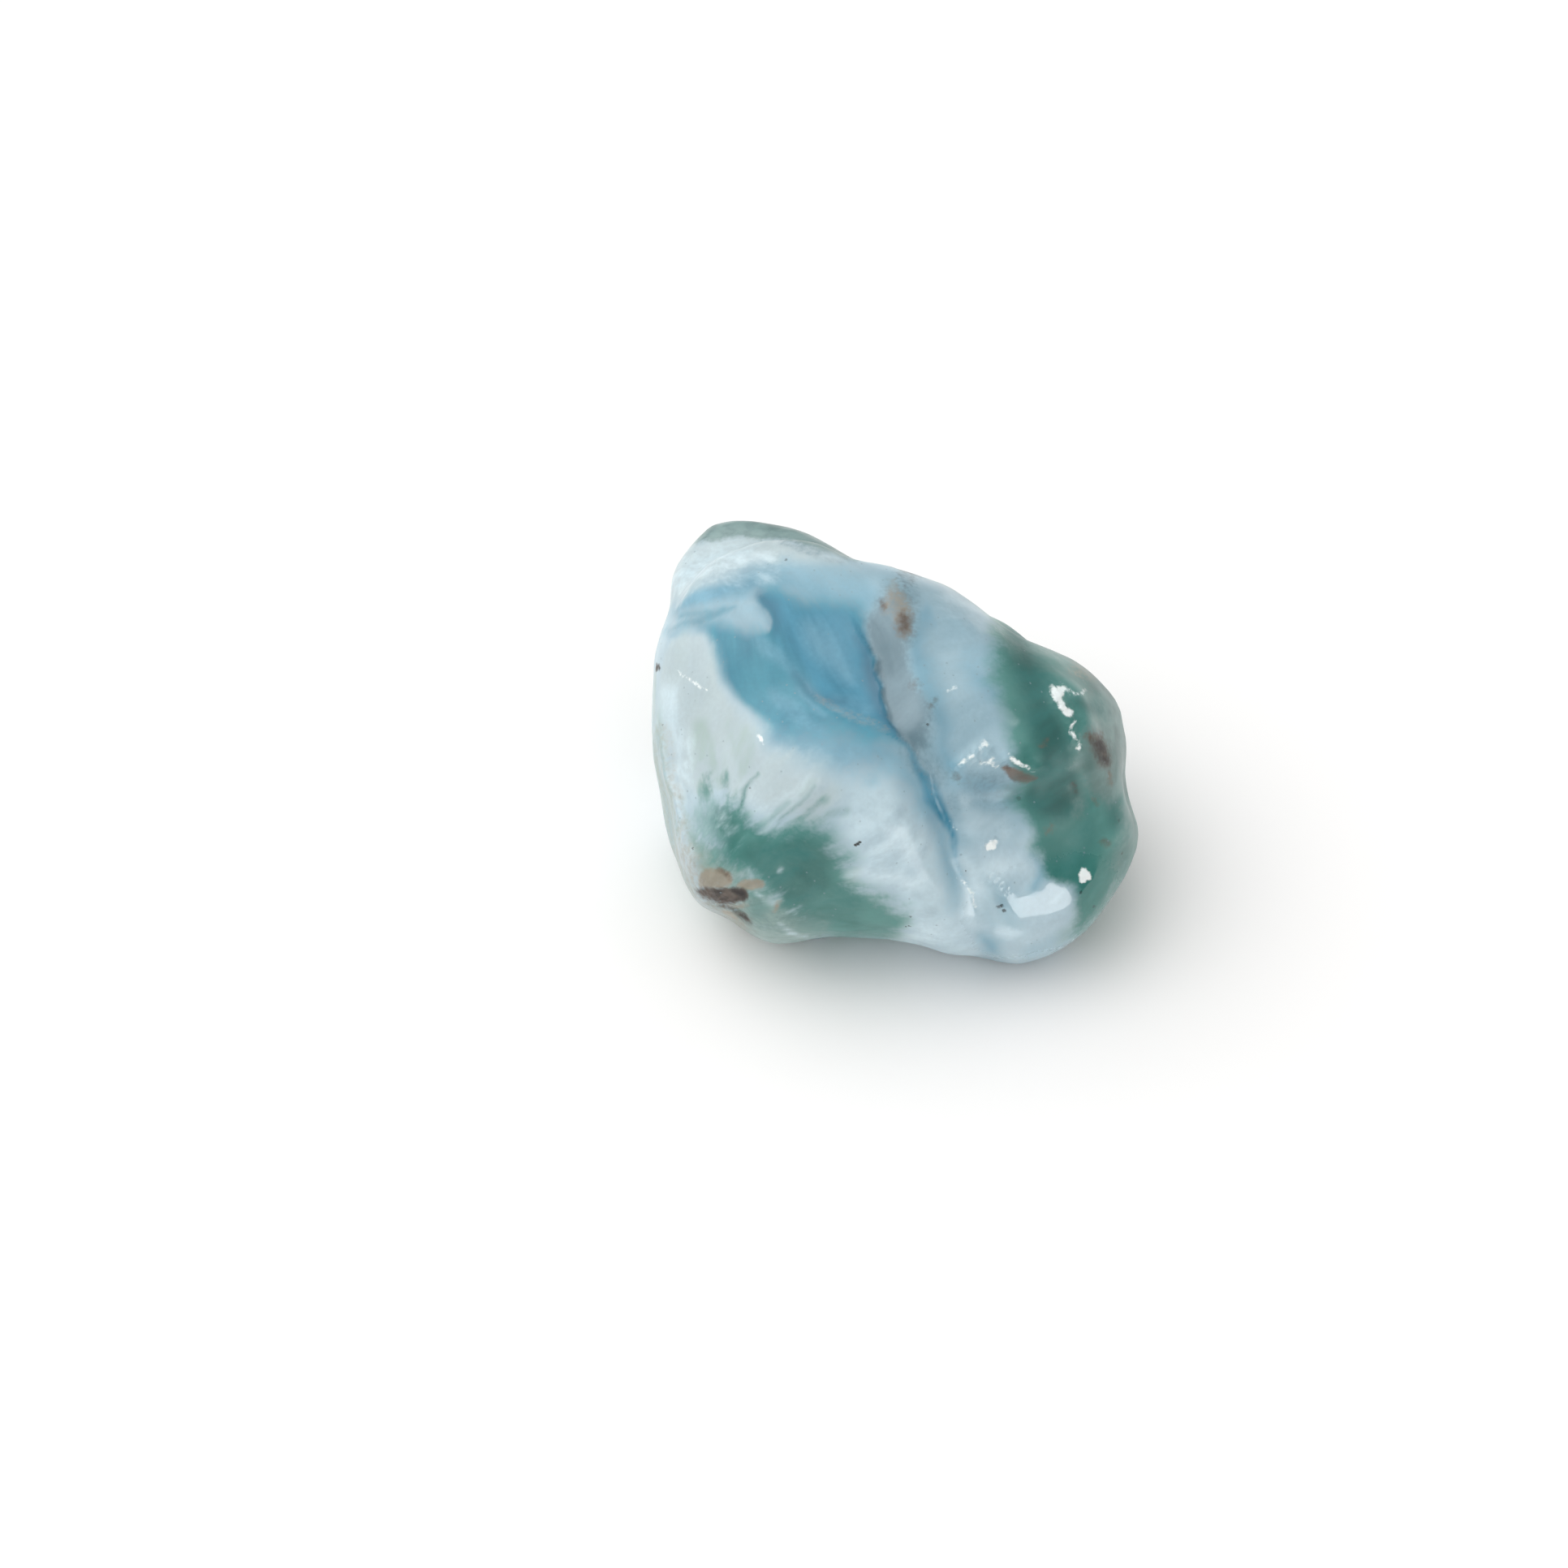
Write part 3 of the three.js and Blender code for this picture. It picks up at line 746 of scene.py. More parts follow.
            (-6.4, 13.7, 0.05), (-5.2, 13.3, 0.15), (-4.0, 12.9, 0.1), (-2.6, 12.5, 0.05),
        ), 0.35, most=-0.2),
        Trail(((83, 74, 1.2), (84, 86, 1.1), (80, 98, 1.3), (74, 110, 1.0)), 0.6),
    ),
    # The whitest needles, and one painted highlight: the bright strip at the foot of the nose.
    Field.WHITE: (
        Streak(((-13.7, 4.0, 0.3), (-13.4, 2.0, 0.5), (-13.0, 0.2, 0.5), (-12.7, -1.8, 0.3)), 0.8),
        Streak(((-12.2, -3.6, 0.2), (-11.2, -4.4, 0.4), (-10.4, -5.0, 0.2)), 1.2, most=-0.4),
        Streak(((-9.6, 11.3, 0.2), (-8.2, 11.4, 0.4), (-7.0, 11.7, 0.2)), 0.6, most=-0.3),
        Streak(((-14.4, 2.4, 0.02), (-13.85, -0.1, 0.08), (-13.25, -2.2, 0.1), (-12.75, -4.2, 0.14)), 0.16),
        Streak((
            (-12.8, -4.6, 0.1), (-12.5, -5.8, 0.25), (-12.2, -6.8, 0.25), (-11.6, -7.8, 0.1),
        ), 0.4, most=0.4),
        Streak((
            (-13.2, 10.8, 0.3), (-12.2, 11.9, 0.5), (-9.8, 12.5, 0.5), (-7.6, 12.7, 0.3),
        ), 0.7, most=0.3),
        Streak(((-3.9, 12.8, 0.02), (-3.2, 12.7, 0.08), (-2.4, 12.5, 0.02)), 0.3),
        Streak((
            (-8.2, -3.0, 0.1), (-7.7, -3.6, 0.1), (-6.6, -3.2, 0.2), (-4.6, -1.8, 0.4),
        ), 0.7, most=-0.2),
        Streak(((-7.9, -4.8, 0.02), (-7.2, -4.4, 0.1), (-6.6, -3.9, 0.02)), 0.25, most=0.6),
        Streak(((-1.6, -4.4, 0.3), (0.4, -4.8, 0.8), (2.0, -5.4, 0.4)), 1.6, most=-0.2),
        Streak(((-2.2, -7.5, 0.05), (-0.4, -7.7, 0.25), (1.8, -8.1, 0.3), (3.6, -8.8, 0.1)), 0.6, most=0.4),
        Streak(((1.8, -11.4, 0.1), (3.6, -11.2, 0.5), (5.4, -11.6, 0.3)), 0.9, most=0.6),
        Streak(((6.0, -7.4, 0.3), (7.2, -7.0, 0.6), (9.2, -7.2, 0.4)), 0.9, most=1.0),
        # Painted highlight: the bright strip at the foot of the nose.
        Streak(((7.4, -11.2, 0.25), (8.2, -11.3, 0.35), (8.8, -11.2, 0.1)), 0.3, most=1.0),
        Streak(((9.0, -12.0, 0.1), (10.4, -11.4, 0.3), (11.6, -10.6, 0.1)), 0.7, most=0.8),
        Streak(((-6.6, -10.9, 0.0), (-5.8, -11.2, 0.08), (-4.8, -11.5, 0.04)), 0.25, most=1.0),
        Streak(((-8.6, -7.2, 0.0), (-8.0, -8.8, 0.0), (-7.0, -9.2, 0.1), (-6.4, -9.0, 0.0)), 0.3, most=0.0),
        Streak(((-6.7, -7.3, 0.02), (-6.5, -7.15, 0.08)), 0.25, most=-0.1),
        Streak(((4.2, 10.3, 0.1), (5.2, 9.4, 0.5), (6.4, 8.9, 0.3)), 1.0, most=0.0),
        Streak((
            (4.6, 1.0, 0.0), (5.4, 2.3, 0.12), (6.6, 2.9, 0.14), (7.8, 2.8, 0.1), (8.4, 2.2, 0.0),
        ), 0.5, most=-0.4),
        Streak(((5.2, -3.8, 0.2), (6.0, -4.2, 0.5), (7.6, -4.6, 0.3)), 1.0, most=0.0),
        Streak(((5.4, -6.6, 0.3), (6.0, -7.8, 0.4), (5.6, -9.4, 0.4), (6.0, -10.8, 0.4)), 0.9, most=0.4),
        Trail(((170, 90, 1.6), (182, 104, 2.2), (190, 122, 1.8)), 1.4, most=0.6),
        Trail(((72, 100, 1.4), (66, 122, 2.2), (60, 140, 1.6)), 1.4, most=0.6),
    ),
    Field.CREAM: (
        Streak((
            (-12.9, -4.2, 0.05), (-12.8, -5.6, 0.25), (-12.5, -6.8, 0.35), (-11.9, -7.6, 0.25),
        ), 0.4, most=-0.35),
        Patch((
            (-11.6, -7.4, 0.2), (-10.5, -7.1, 0.2), (-9.8, -7.4, 0.15), (-9.6, -8.1, 0.12),
            (-9.9, -8.5, 0.15), (-10.8, -8.4, 0.15), (-11.7, -8.3, 0.2),
        ), most=1.0),
        Patch((
            (-9.0, -7.95, 0.12), (-7.7, -7.9, 0.12), (-7.6, -8.35, 0.12), (-8.4, -8.55, 0.15),
            (-9.3, -8.4, 0.15),
        ), most=0.8),
        Patch((
            (-10.2, -9.9, 0.2), (-9.5, -10.1, 0.15), (-8.8, -10.7, 0.15), (-8.6, -11.3, 0.2),
            (-9.6, -11.0, 0.2),
        ), wrap=0.1),
        Streak(((-6.9, -9.9, 0.03), (-6.7, -9.5, 0.1), (-6.4, -9.2, 0.02)), 0.2),
        Streak((
            (-12.9, -6.4, 0.5), (-12.0, -8.6, 0.7), (-10.6, -10.2, 0.7), (-9.4, -11.2, 0.5),
        ), 1.0, most=-0.1),
        Streak(((-14.1, 1.4, 0.2), (-13.8, -1.6, 0.4), (-13.3, -4.4, 0.5)), 0.8, most=-0.45),
        Streak(((-4.2, 3.9, 0.02), (-2.6, 2.9, 0.05), (-1.0, 2.3, 0.05), (0.4, 1.6, 0.02)), 0.3, most=-0.5),
        Streak(((-10.2, -9.6, 0.06), (-9.2, -9.65, 0.12), (-8.7, -9.5, 0.05)), 0.2, most=0.6),
        Streak(((8.7, -1.35, 0.06), (9.4, -1.5, 0.08)), 0.2, most=-0.1),
        Streak(((0.7, 11.0, 0.1), (0.6, 10.2, 0.2), (0.3, 9.4, 0.1)), 0.5, most=0.2),
        Streak(((0.7, 11.0, 0.1), (1.1, 10.2, 0.25), (1.4, 9.2, 0.4), (1.5, 8.2, 0.3)), 0.6, most=0.3),
        Streak(((13.4, 5.2, 0.1), (12.4, 5.6, 0.1)), 0.7, most=-0.3),
        Trail(((154, 132, 0.6), (147, 138, 1.0), (139, 143, 0.8), (134, 150, 0.5)), 0.9, most=0.1),
        Trail(((262, 128, 1.2), (254, 132, 0.8), (248, 136, 0.8)), 0.9, most=0.2),
    ),
    Field.RUST: (
        Streak(((-10.5, -7.1, 0.04), (-10.1, -7.35, 0.14), (-9.7, -7.85, 0.08)), 0.22),
        Streak(((-10.2, -9.35, 0.08), (-9.4, -9.3, 0.08)), 0.22),
        Streak(((-9.9, -8.7, 0.03), (-9.7, -9.1, 0.05)), 0.2),
        Patch((
            (7.7, -0.6, 0.15), (8.4, -0.7, 0.15), (9.3, -1.0, 0.15), (9.9, -1.5, 0.12), (9.2, -1.7, 0.12),
            (8.4, -1.6, 0.15), (8.0, -1.1, 0.15),
        )),
        Streak(((2.9, 3.2, 0.06), (3.35, 3.7, 0.0)), 0.35, most=0.4),
        Streak(((1.9, 4.4, 0.0), (2.2, 4.7, 0.06)), 0.4, most=-0.2),
        Streak(((14.5, -1.1, 0.04), (14.7, -1.7, 0.06)), 0.3, most=0.6),
        Streak(((13.6, -2.8, 0.06), (13.8, -3.2, 0.03)), 0.25, most=0.6),
        Streak(((14.1, -5.4, 0.1), (14.4, -5.6, 0.1)), 0.3, most=0.8),
        Streak(((10.5, -4.8, 0.05), (10.9, -4.5, 0.04)), 0.3, most=0.6),
        Streak(((4.6, -1.3, 0.08), (4.8, -1.5, 0.05)), 0.3, most=0.6),
        Streak(((10.3, 0.7, 0.05), (10.5, 1.0, 0.04)), 0.3, most=0.2),
        Streak(((13.3, 1.2, 0.05), (13.8, 1.2, 0.1)), 0.4, most=0.4),
        Trail(((150, 141, 0.4), (145, 146, 0.6), (141, 151, 0.3)), 0.6, most=0.2),
        Trail(((44, 96, 0.6),), 0.4, most=0.6),
    ),
    Field.BROWN: (
        Trail(((158.0, 79.0, 0.16), (158.5, 81.5, 0.24)), 0.12),
        Patch((
            (-11.7, -8.4, 0.2), (-10.8, -8.35, 0.15), (-9.9, -8.5, 0.15), (-9.2, -8.4, 0.15),
            (-8.6, -8.6, 0.12), (-8.6, -9.1, 0.12), (-9.1, -9.3, 0.15), (-9.9, -9.5, 0.15),
            (-10.7, -9.3, 0.15), (-11.4, -8.9, 0.2),
        )),
        Streak(((-10.3, -9.6, 0.03), (-9.4, -9.9, 0.08), (-8.7, -10.4, 0.14), (-8.4, -10.7, 0.04)), 0.18),
        Streak(((1.4, 9.1, 0.1), (1.5, 8.7, 0.4), (1.4, 8.2, 0.3)), 0.5, most=0.6),
        Streak(((0.05, 9.8, 0.08), (0.2, 9.5, 0.12)), 0.3, most=0.6),
        Streak(((8.1, -0.6, 0.06), (8.2, -0.8, 0.08)), 0.2),
        Streak(((8.7, -1.2, 0.1), (9.2, -1.3, 0.06)), 0.25, most=0.4),
        Streak(((13.7, 1.1, 0.3), (13.95, 0.5, 0.5), (14.2, -0.3, 0.42)), 0.5, most=2.0),
        Streak(((12.3, -1.8, 0.05), (12.4, -2.3, 0.08)), 0.3, most=0.4),
        Streak(((1.4, 11.5, 0.1), (1.7, 11.3, 0.1)), 0.5, most=-0.4),
        Trail(((152, 135, 0.3), (147, 140, 0.7), (142, 143, 0.5), (139, 148, 0.2)), 0.6, most=0.8),
        Trail(((133, 140, 0.25), (131, 143, 0.2)), 0.4, most=0.4),
        Trail(((262, 129, 0.6), (256, 132, 0.4), (251, 134, 0.5)), 0.5, most=0.8),
        Trail(((40, 98, 0.5),), 0.4),
    ),
    Field.UMBER: (
        Streak(((-9.5, -8.6, 0.12), (-9.0, -8.8, 0.24), (-8.8, -9.1, 0.12)), 0.18),
        Streak(((-10.8, -8.55, 0.05), (-10.4, -8.75, 0.1)), 0.18),
        Streak(((-10.2, -9.15, 0.03), (-9.9, -9.2, 0.06)), 0.16),
        Streak(((-9.0, -10.2, 0.02), (-8.6, -10.45, 0.06)), 0.14),
        Streak(((13.8, 0.9, 0.15), (14.0, 0.5, 0.25)), 0.3, most=0.8),
        Streak(((14.0, -0.2, 0.18), (14.3, -0.3, 0.18)), 0.3, most=0.8),
        Trail(((148, 139, 0.15), (145, 142, 0.3)), 0.3),
    ),
    # White painted glints: the window's sparkle on the broken crests, painted into the colour as white
    # marks.
    Field.BRUISE: (
        Streak(((4.95, -0.55, 0.06), (5.3, -0.35, 0.12)), 0.1),
        Streak(((5.6, -0.1, 0.04), (5.8, 0.0, 0.08)), 0.1),
        Streak(((6.3, 0.45, 0.04), (6.6, 0.75, 0.14), (6.8, 0.6, 0.06)), 0.1),
        Streak(((6.3, -0.4, 0.08), (6.5, -0.3, 0.06)), 0.1),
        Streak(((6.8, -0.35, 0.08), (7.05, -0.15, 0.12), (7.1, -0.45, 0.1)), 0.1),
        Streak(((7.35, -0.65, 0.03), (7.5, -0.6, 0.04)), 0.1),
        Streak((
            (8.0, 0.15, 0.03), (8.4, -0.2, 0.12), (8.9, -0.5, 0.1), (9.3, -0.65, 0.08), (9.65, -0.95, 0.03),
        ), 0.09),
        Patch((
            (10.7, 4.25, 0.1), (11.1, 4.4, 0.1), (11.7, 4.45, 0.1), (11.5, 3.95, 0.1), (11.8, 3.3, 0.1),
            (12.25, 2.95, 0.1), (11.75, 2.5, 0.1), (11.35, 3.1, 0.1),
        )),
        Streak(((11.8, 4.2, 0.06), (12.4, 4.0, 0.05), (12.9, 4.3, 0.04)), 0.12, most=-0.1),
        Streak(((12.35, 2.2, 0.03), (12.0, 1.6, 0.1), (12.35, 1.15, 0.06)), 0.1),
        Streak(((12.55, 0.9, 0.03), (12.65, 0.55, 0.12), (12.35, 0.5, 0.06)), 0.1),
        Patch((
            (6.7, -5.6, 0.08), (7.0, -5.45, 0.08), (7.3, -5.3, 0.08), (7.45, -5.6, 0.08),
            (7.3, -5.95, 0.08), (6.95, -6.05, 0.08), (6.7, -5.9, 0.08),
        )),
        Patch((
            (12.55, -7.5, 0.08), (12.85, -7.2, 0.08), (13.25, -7.35, 0.08), (13.35, -7.8, 0.08),
            (12.95, -8.1, 0.08), (12.6, -8.0, 0.08),
        )),
        Streak(((-13.05, 5.5, 0.02), (-12.4, 5.05, 0.05), (-11.9, 4.6, 0.08), (-11.2, 4.25, 0.02)), 0.1),
        Streak(((-7.95, 1.25, 0.02), (-7.65, 1.15, 0.12), (-7.5, 0.85, 0.0)), 0.1),
        Streak(((4.9, -7.9, 0.02), (5.3, -8.4, 0.05), (5.7, -8.9, 0.03), (6.0, -9.6, 0.02)), 0.1, most=0.2),
        Streak(((4.4, -4.1, 0.0), (4.8, -4.6, 0.03)), 0.1, most=0.0),
        Streak(((4.0, 4.1, 0.02), (4.8, 4.3, 0.02)), 0.1, most=-0.2),
        Trail(((64, 96, 0.35),), 0.15),
        Trail(((58, 100, 0.25),), 0.12),
    ),
    Field.CHIPPED: (
        Streak((
            (4.6, -0.8, 0.2), (5.6, -0.2, 0.3), (6.6, 0.4, 0.4), (7.2, -0.3, 0.3), (8.4, -0.1, 0.2),
            (9.6, -0.8, 0.2),
        ), 0.4),
        Streak((
            (10.8, 4.3, 0.3), (11.4, 3.6, 0.5), (12.0, 2.8, 0.4), (12.1, 1.6, 0.3), (12.5, 0.7, 0.3),
        ), 0.5),
        Streak(((6.6, -5.8, 0.2), (7.3, -5.4, 0.2)), 0.3),
        Streak(((6.9, -7.3, 0.2), (7.5, -8.2, 0.4), (7.9, -8.9, 0.2)), 0.3, most=0.6),
        Streak(((-11.4, -8.4, 0.5), (-10.2, -9.2, 0.6), (-9.0, -9.4, 0.6)), 0.5),
        Trail(((146, 141, 1.2),), 0.6),
    ),
    Field.POLISHED: (Streak(((7.8, -10.3, 2.2), (10.4, -9.4, 2.6), (12.6, -8.6, 2.2)), 0.9),),
}


@dataclass(frozen=True)
class Speck:
    """A dark grain of ore in the surface, at a place on the show plane."""

    right: float
    up: float
    radius: float
    strength: float = 1.0


SPECKS = (
    Speck(-1.68, -5.68, 0.10),
    Speck(-1.52, -5.60, 0.12),
    Speck(-1.40, -5.50, 0.09),
    Speck(1.55, -10.88, 0.09, 0.8),
    Speck(1.75, -10.85, 0.08, 0.8),
    Speck(1.85, -10.25, 0.09, 0.6),
    Speck(7.45, -9.62, 0.13, 0.7),
    Speck(7.65, -9.55, 0.13, 0.8),
    Speck(7.80, -9.85, 0.13, 0.8),
    Speck(-14.40, 5.85, 0.16),
    Speck(-14.42, 5.60, 0.20),
    Speck(-14.20, 5.62, 0.14),
    Speck(2.92, 2.05, 0.07, 0.7),
    Speck(-8.45, -2.02, 0.08, 0.5),
    Speck(-12.08, -5.88, 0.08, 0.6),
    Speck(12.72, -8.70, 0.12, 0.6),
    Speck(13.55, -9.60, 0.11, 0.4),
    Speck(15.35, -6.20, 0.12, 0.5),
    Speck(15.15, -4.10, 0.12, 0.35),
    Speck(5.40, -7.32, 0.06, 0.6),
    Speck(-6.12, 12.58, 0.09, 0.6),
    Speck(8.75, -2.70, 0.14, 0.3),
    Speck(-14.00, 2.00, 0.07, 0.5),
)


# --- The studio's window --------------------------------------------------------------------------------


@dataclass(frozen=True)
class SoftBox:
    """A soft rectangular light that hangs in a direction from the stone and faces it.

    Its sizes are in metres and its roll in degrees.
    """

    name: str
    toward: tuple[float, float, float]
    distance: float
    width: float
    height: float
    roll: float
    radiance: float

    def hang(self, target: Vector) -> bpy.types.Object:
        """Hangs the light, out of the camera's sight.

        Args:
            target: The point that it faces, in metres.

        Returns:
            The light's object.
        """
        lamp = bpy.data.lights.new(self.name, "AREA")
        lamp.shape = "RECTANGLE"
        lamp.size = self.width
        lamp.size_y = self.height
        lamp.energy = math.pi * self.width * self.height * self.radiance
        holder = bpy.data.objects.new(self.name, lamp)
        way = Vector(self.toward).normalized()
        holder.location = target + way * self.distance
        facing = way.to_track_quat("Z", "Y") @ Quaternion((0, 0, 1), math.radians(self.roll))
        holder.rotation_euler = facing.to_euler()
        holder.visible_camera = False
        bpy.context.scene.collection.objects.link(holder)
        return holder


WINDOW = SoftBox("window_light", (0.50, -0.855, 0.115), 0.60, 0.36, 0.19, 5, 4.4)


# --- The relief of this stone ---------------------------------------------------------------------------

RELIEF: tuple[Ledge | Groove | Swell | Weathering, ...] = (
    Weathering(),
    # The vein stands a little above the blue hollow, with a crisp lip.
    Ledge((
        (3.9, -3.6), (3.0, -1.6), (2.1, 0.1), (1.2, 1.3), (0.5, 2.2), (0.3, 3.0), (0.0, 3.8), (0.05, 4.4),
        (-0.2, 5.2), (-0.3, 6.1), (-0.9, 6.9), (-1.6, 8.3), (-1.9, 9.5),
    ), 0.42),
    Groove((
        (-7.0, 8.2), (-6.3, 6.9), (-5.2, 5.1), (-3.9, 3.6), (-2.4, 2.6), (-0.6, 1.9), (1.2, 1.0),
    ), 0.04, 0.22),
    Groove(((1.4, 1.0), (2.6, -1.0), (3.7, -3.0), (4.45, -4.8), (4.75, -6.6)), 0.28, 0.5),
    Groove(((4.5, -6.4), (5.2, -8.2), (6.1, -10.0), (6.8, -12.0)), 0.1, 0.4),
    Groove(((-13.8, 7.9), (-12.5, 8.2), (-11.2, 8.7), (-9.8, 9.3)), 0.03, 0.16),
    Groove(((-13.9, 7.0), (-12.9, 7.9), (-11.6, 8.3), (-10.6, 8.0)), 0.04, 0.2),
    # The crest that the left flank turns away at.
    Groove((
        (-14.4, 2.4), (-13.8, -0.2), (-13.2, -2.4), (-12.7, -4.4), (-12.2, -6.4), (-11.5, -7.9),
    ), -0.3, 0.3),
    Groove(((-10.4, -9.5), (-9.4, -9.9), (-8.5, -10.5)), 0.25, 0.2),
    # The step between the knob and the white band before it.
    Groove(((-11.5, 13.6), (-9.4, 13.9), (-7.4, 13.8), (-5.6, 13.6), (-3.8, 13.2)), 0.05, 0.35),
    # The sparkling crest of the right lobe, with the dish under it.
    Groove((
        (4.4, -0.9), (5.4, -0.3), (6.6, 0.5), (7.3, -0.4), (8.3, -0.1), (9.7, -0.9), (11.0, -0.6),
    ), -0.22, 0.4),
    Groove(((10.7, 4.4), (11.6, 3.0), (12.1, 1.6), (12.6, 0.5)), -0.2, 0.4),
    # The hollow under the front, and the nose, whose face leans back.
    Swell(266, 116, 4.5, -1.3),
    Swell(317, 67, 4.8, 0.55),
    Swell(328, 53, 6.0, -0.6),
    # The dimples of the dish.
    Swell(345, 46, 1.5, -0.22),
    Swell(353, 56, 1.3, -0.12),
    # The notch in the right edge.
    Swell(352, 86, 1.8, -0.5),
)


# --- The skin -------------------------------------------------------------------------------------------


@dataclass
class StoneSkin:
    """The stone's visible surface: a fine copy of the frame's solid with its small relief.

    Its sizes are in millimetres. Each round of smoothing pulls the points in and then a little further out
    again, so that the stone doesn't shrink. Points below the flat's height belong to the flat that it rests
    on: they are dropped to level ground, and relief fades in over the next flat_fade above them.
    """

    show: ShowSide
    voxel: float = 0.385
    smoothing_rounds: int = 6
    smoothing: tuple[float, float] = (0.5, -0.52)
    weld: float = 1e-4
    flat_height: float = 0.10
    flat_drop: float = 0.05
    flat_fade: float = 0.50
    keep_inside: float = 0.01

    def build(self, solid: bpy.types.Object) -> bpy.types.Object:
        """Builds the skin.

        Args:
            solid: The CAD node that the skin stands for.

        Returns:
            The skin's object, with its marks as attributes.
        """
        skin = self.fine_copy(solid)
        mesh = skin.data
        smooth_points = self.points_of(mesh)
        ground = self.ground_of(mesh)
        lift = sum(feature.lift(ground) for feature in RELIEF)
        self.place(mesh, ground.points + self.kept_flat(ground, lift[:, None] * ground.normals))
        self.settle(mesh, smooth_points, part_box(STONE))
        self.paint_fields(mesh)
        mesh.shade_smooth()
        return skin

    def fine_copy(self, solid: bpy.types.Object) -> bpy.types.Object:
        """Copies the solid as an even mesh of small quads.

        Args:
            solid: The CAD node.

        Returns:
            An object of the new mesh.
        """
        mesh = solid.data.copy()
        mesh.materials.clear()
        shell = bmesh.new()
        shell.from_mesh(mesh)
        bmesh.ops.remove_doubles(shell, verts=shell.verts, dist=self.weld * MM)
        shell.to_mesh(mesh)
        shell.free()
        skin = bpy.data.objects.new("larimar_skin", mesh)
        bpy.context.scene.collection.objects.link(skin)
        even = skin.modifiers.new("even quads", "REMESH")
        even.mode = "VOXEL"
        even.voxel_size = self.voxel * MM
        self.apply_modifiers(skin)
        shell = bmesh.new()
        shell.from_mesh(skin.data)
        for factor in self.smoothing * self.smoothing_rounds:
            bmesh.ops.smooth_vert(
                shell, verts=shell.verts, factor=factor, use_axis_x=True, use_axis_y=True, use_axis_z=True
            )
        shell.to_mesh(skin.data)
        shell.free()
        finer = skin.modifiers.new("finer", "SUBSURF")
        finer.levels = 1
        finer.render_levels = 1
        self.apply_modifiers(skin)
        return skin

    @staticmethod
    def apply_modifiers(piece: bpy.types.Object) -> None:
        """Replaces a piece's mesh by what its modifiers make of it."""
        bpy.context.view_layer.update()
        shaped = piece.evaluated_get(bpy.context.evaluated_depsgraph_get())
        mesh = bpy.data.meshes.new_from_object(shaped)
        piece.modifiers.clear()
        piece.data = mesh
        mesh.name = piece.name

    @staticmethod
    def points_of(mesh: bpy.types.Mesh) -> np.ndarray:
        """Returns the mesh's points in millimetres."""
        flat = np.empty(len(mesh.vertices) * 3, np.float32)
        mesh.vertices.foreach_get("co", flat)
        return flat.reshape(-1, 3).astype(float) / MM

    @staticmethod
    def place(mesh: bpy.types.Mesh, points: np.ndarray) -> None:
        """Moves the mesh's points, given in millimetres."""
        mesh.vertices.foreach_set("co", (points * MM).astype(np.float32).ravel())
        mesh.update()

    def ground_of(self, mesh: bpy.types.Mesh) -> Ground:
        """Returns the mesh, which is all quads, as arrays."""
        normals = np.empty(len(mesh.vertices) * 3, np.float32)
        mesh.vertex_normals.foreach_get("vector", normals)
        corners = np.empty(len(mesh.loops), np.int32)
        mesh.loops.foreach_get("vertex_index", corners)
        return Ground(
            self.show, self.points_of(mesh), normals.reshape(-1, 3).astype(float), corners.reshape(-1, 4)
        )

    def kept_flat(self, ground: Ground, moves: np.ndarray) -> np.ndarray:
        """Fades moves out near the flat that the stone rests on."""
        return moves * ease((ground.points[:, 2] - self.flat_height) / self.flat_fade)[:, None]

    def settle(self, mesh: bpy.types.Mesh, before: np.ndarray, box: tuple[Vector, Vector]) -> None:
        """Keeps the points in the frame's box and the resting flat level.

        Args:
            mesh: The skin's mesh.
            before: The points before any relief, which tell the flat from the rest.
            box: The lowest and highest corner of the CAD node, in metres.
        """
        points = self.points_of(mesh)
        low, high = (np.array(corner) / MM for corner in box)
        points = np.clip(points, low + (self.keep_inside, self.keep_inside, 0), high - self.keep_inside)
        level = before[:, 2] < self.flat_height
        points[level, 2] = np.maximum(0.0, before[level, 2] - self.flat_drop)
        self.place(mesh, points)

    def paint_fields(self, mesh: bpy.types.Mesh) -> None:
        """Writes every field of marks to the mesh as an attribute."""
        ground = self.ground_of(mesh)
        for field, marks in MARKS.items():
            depth = np.max([mark.depth(ground) for mark in marks], axis=0)
            attribute = mesh.attributes.new(field.value, "FLOAT", "POINT")
            attribute.data.foreach_set("value", depth.astype(np.float32))


# --- The finish -----------------------------------------------------------------------------------------

# Settings and values that several nodes share. A mix of numbers takes them in its sockets 2 and 3, and a
# mix of colours in its sockets 6 and 7.
COLOURS = {"data_type": "RGBA"}
NUMBERS = {"data_type": "FLOAT"}
SMOOTH = {"interpolation_type": "SMOOTHSTEP"}
MIDDLE = (0.5, 0.5, 0.5)


def add(
    tree: Tree,
    kind: str,
    settings: dict[str, object] | None = None,
    inputs: dict[int | str, object] | None = None,
) -> bpy.types.Node:
    """Adds a node with its settings and its input links or values.

    Args:
        tree: The node tree that it goes in.
        kind: The node's type, without the ShaderNode that each begins with.
        settings: Values for the node's own properties.
        inputs: For each socket, by name or number, the socket that feeds it or its value.

    Returns:
        The node.
    """
    node = tree.nodes.new("ShaderNode" + kind)
    for name, value in (settings or {}).items():
        setattr(node, name, value)
    for name, value in (inputs or {}).items():
        if isinstance(value, Socket):
            tree.links.new(value, node.inputs[name])
        else:
            node.inputs[name].default_value = value
    return node


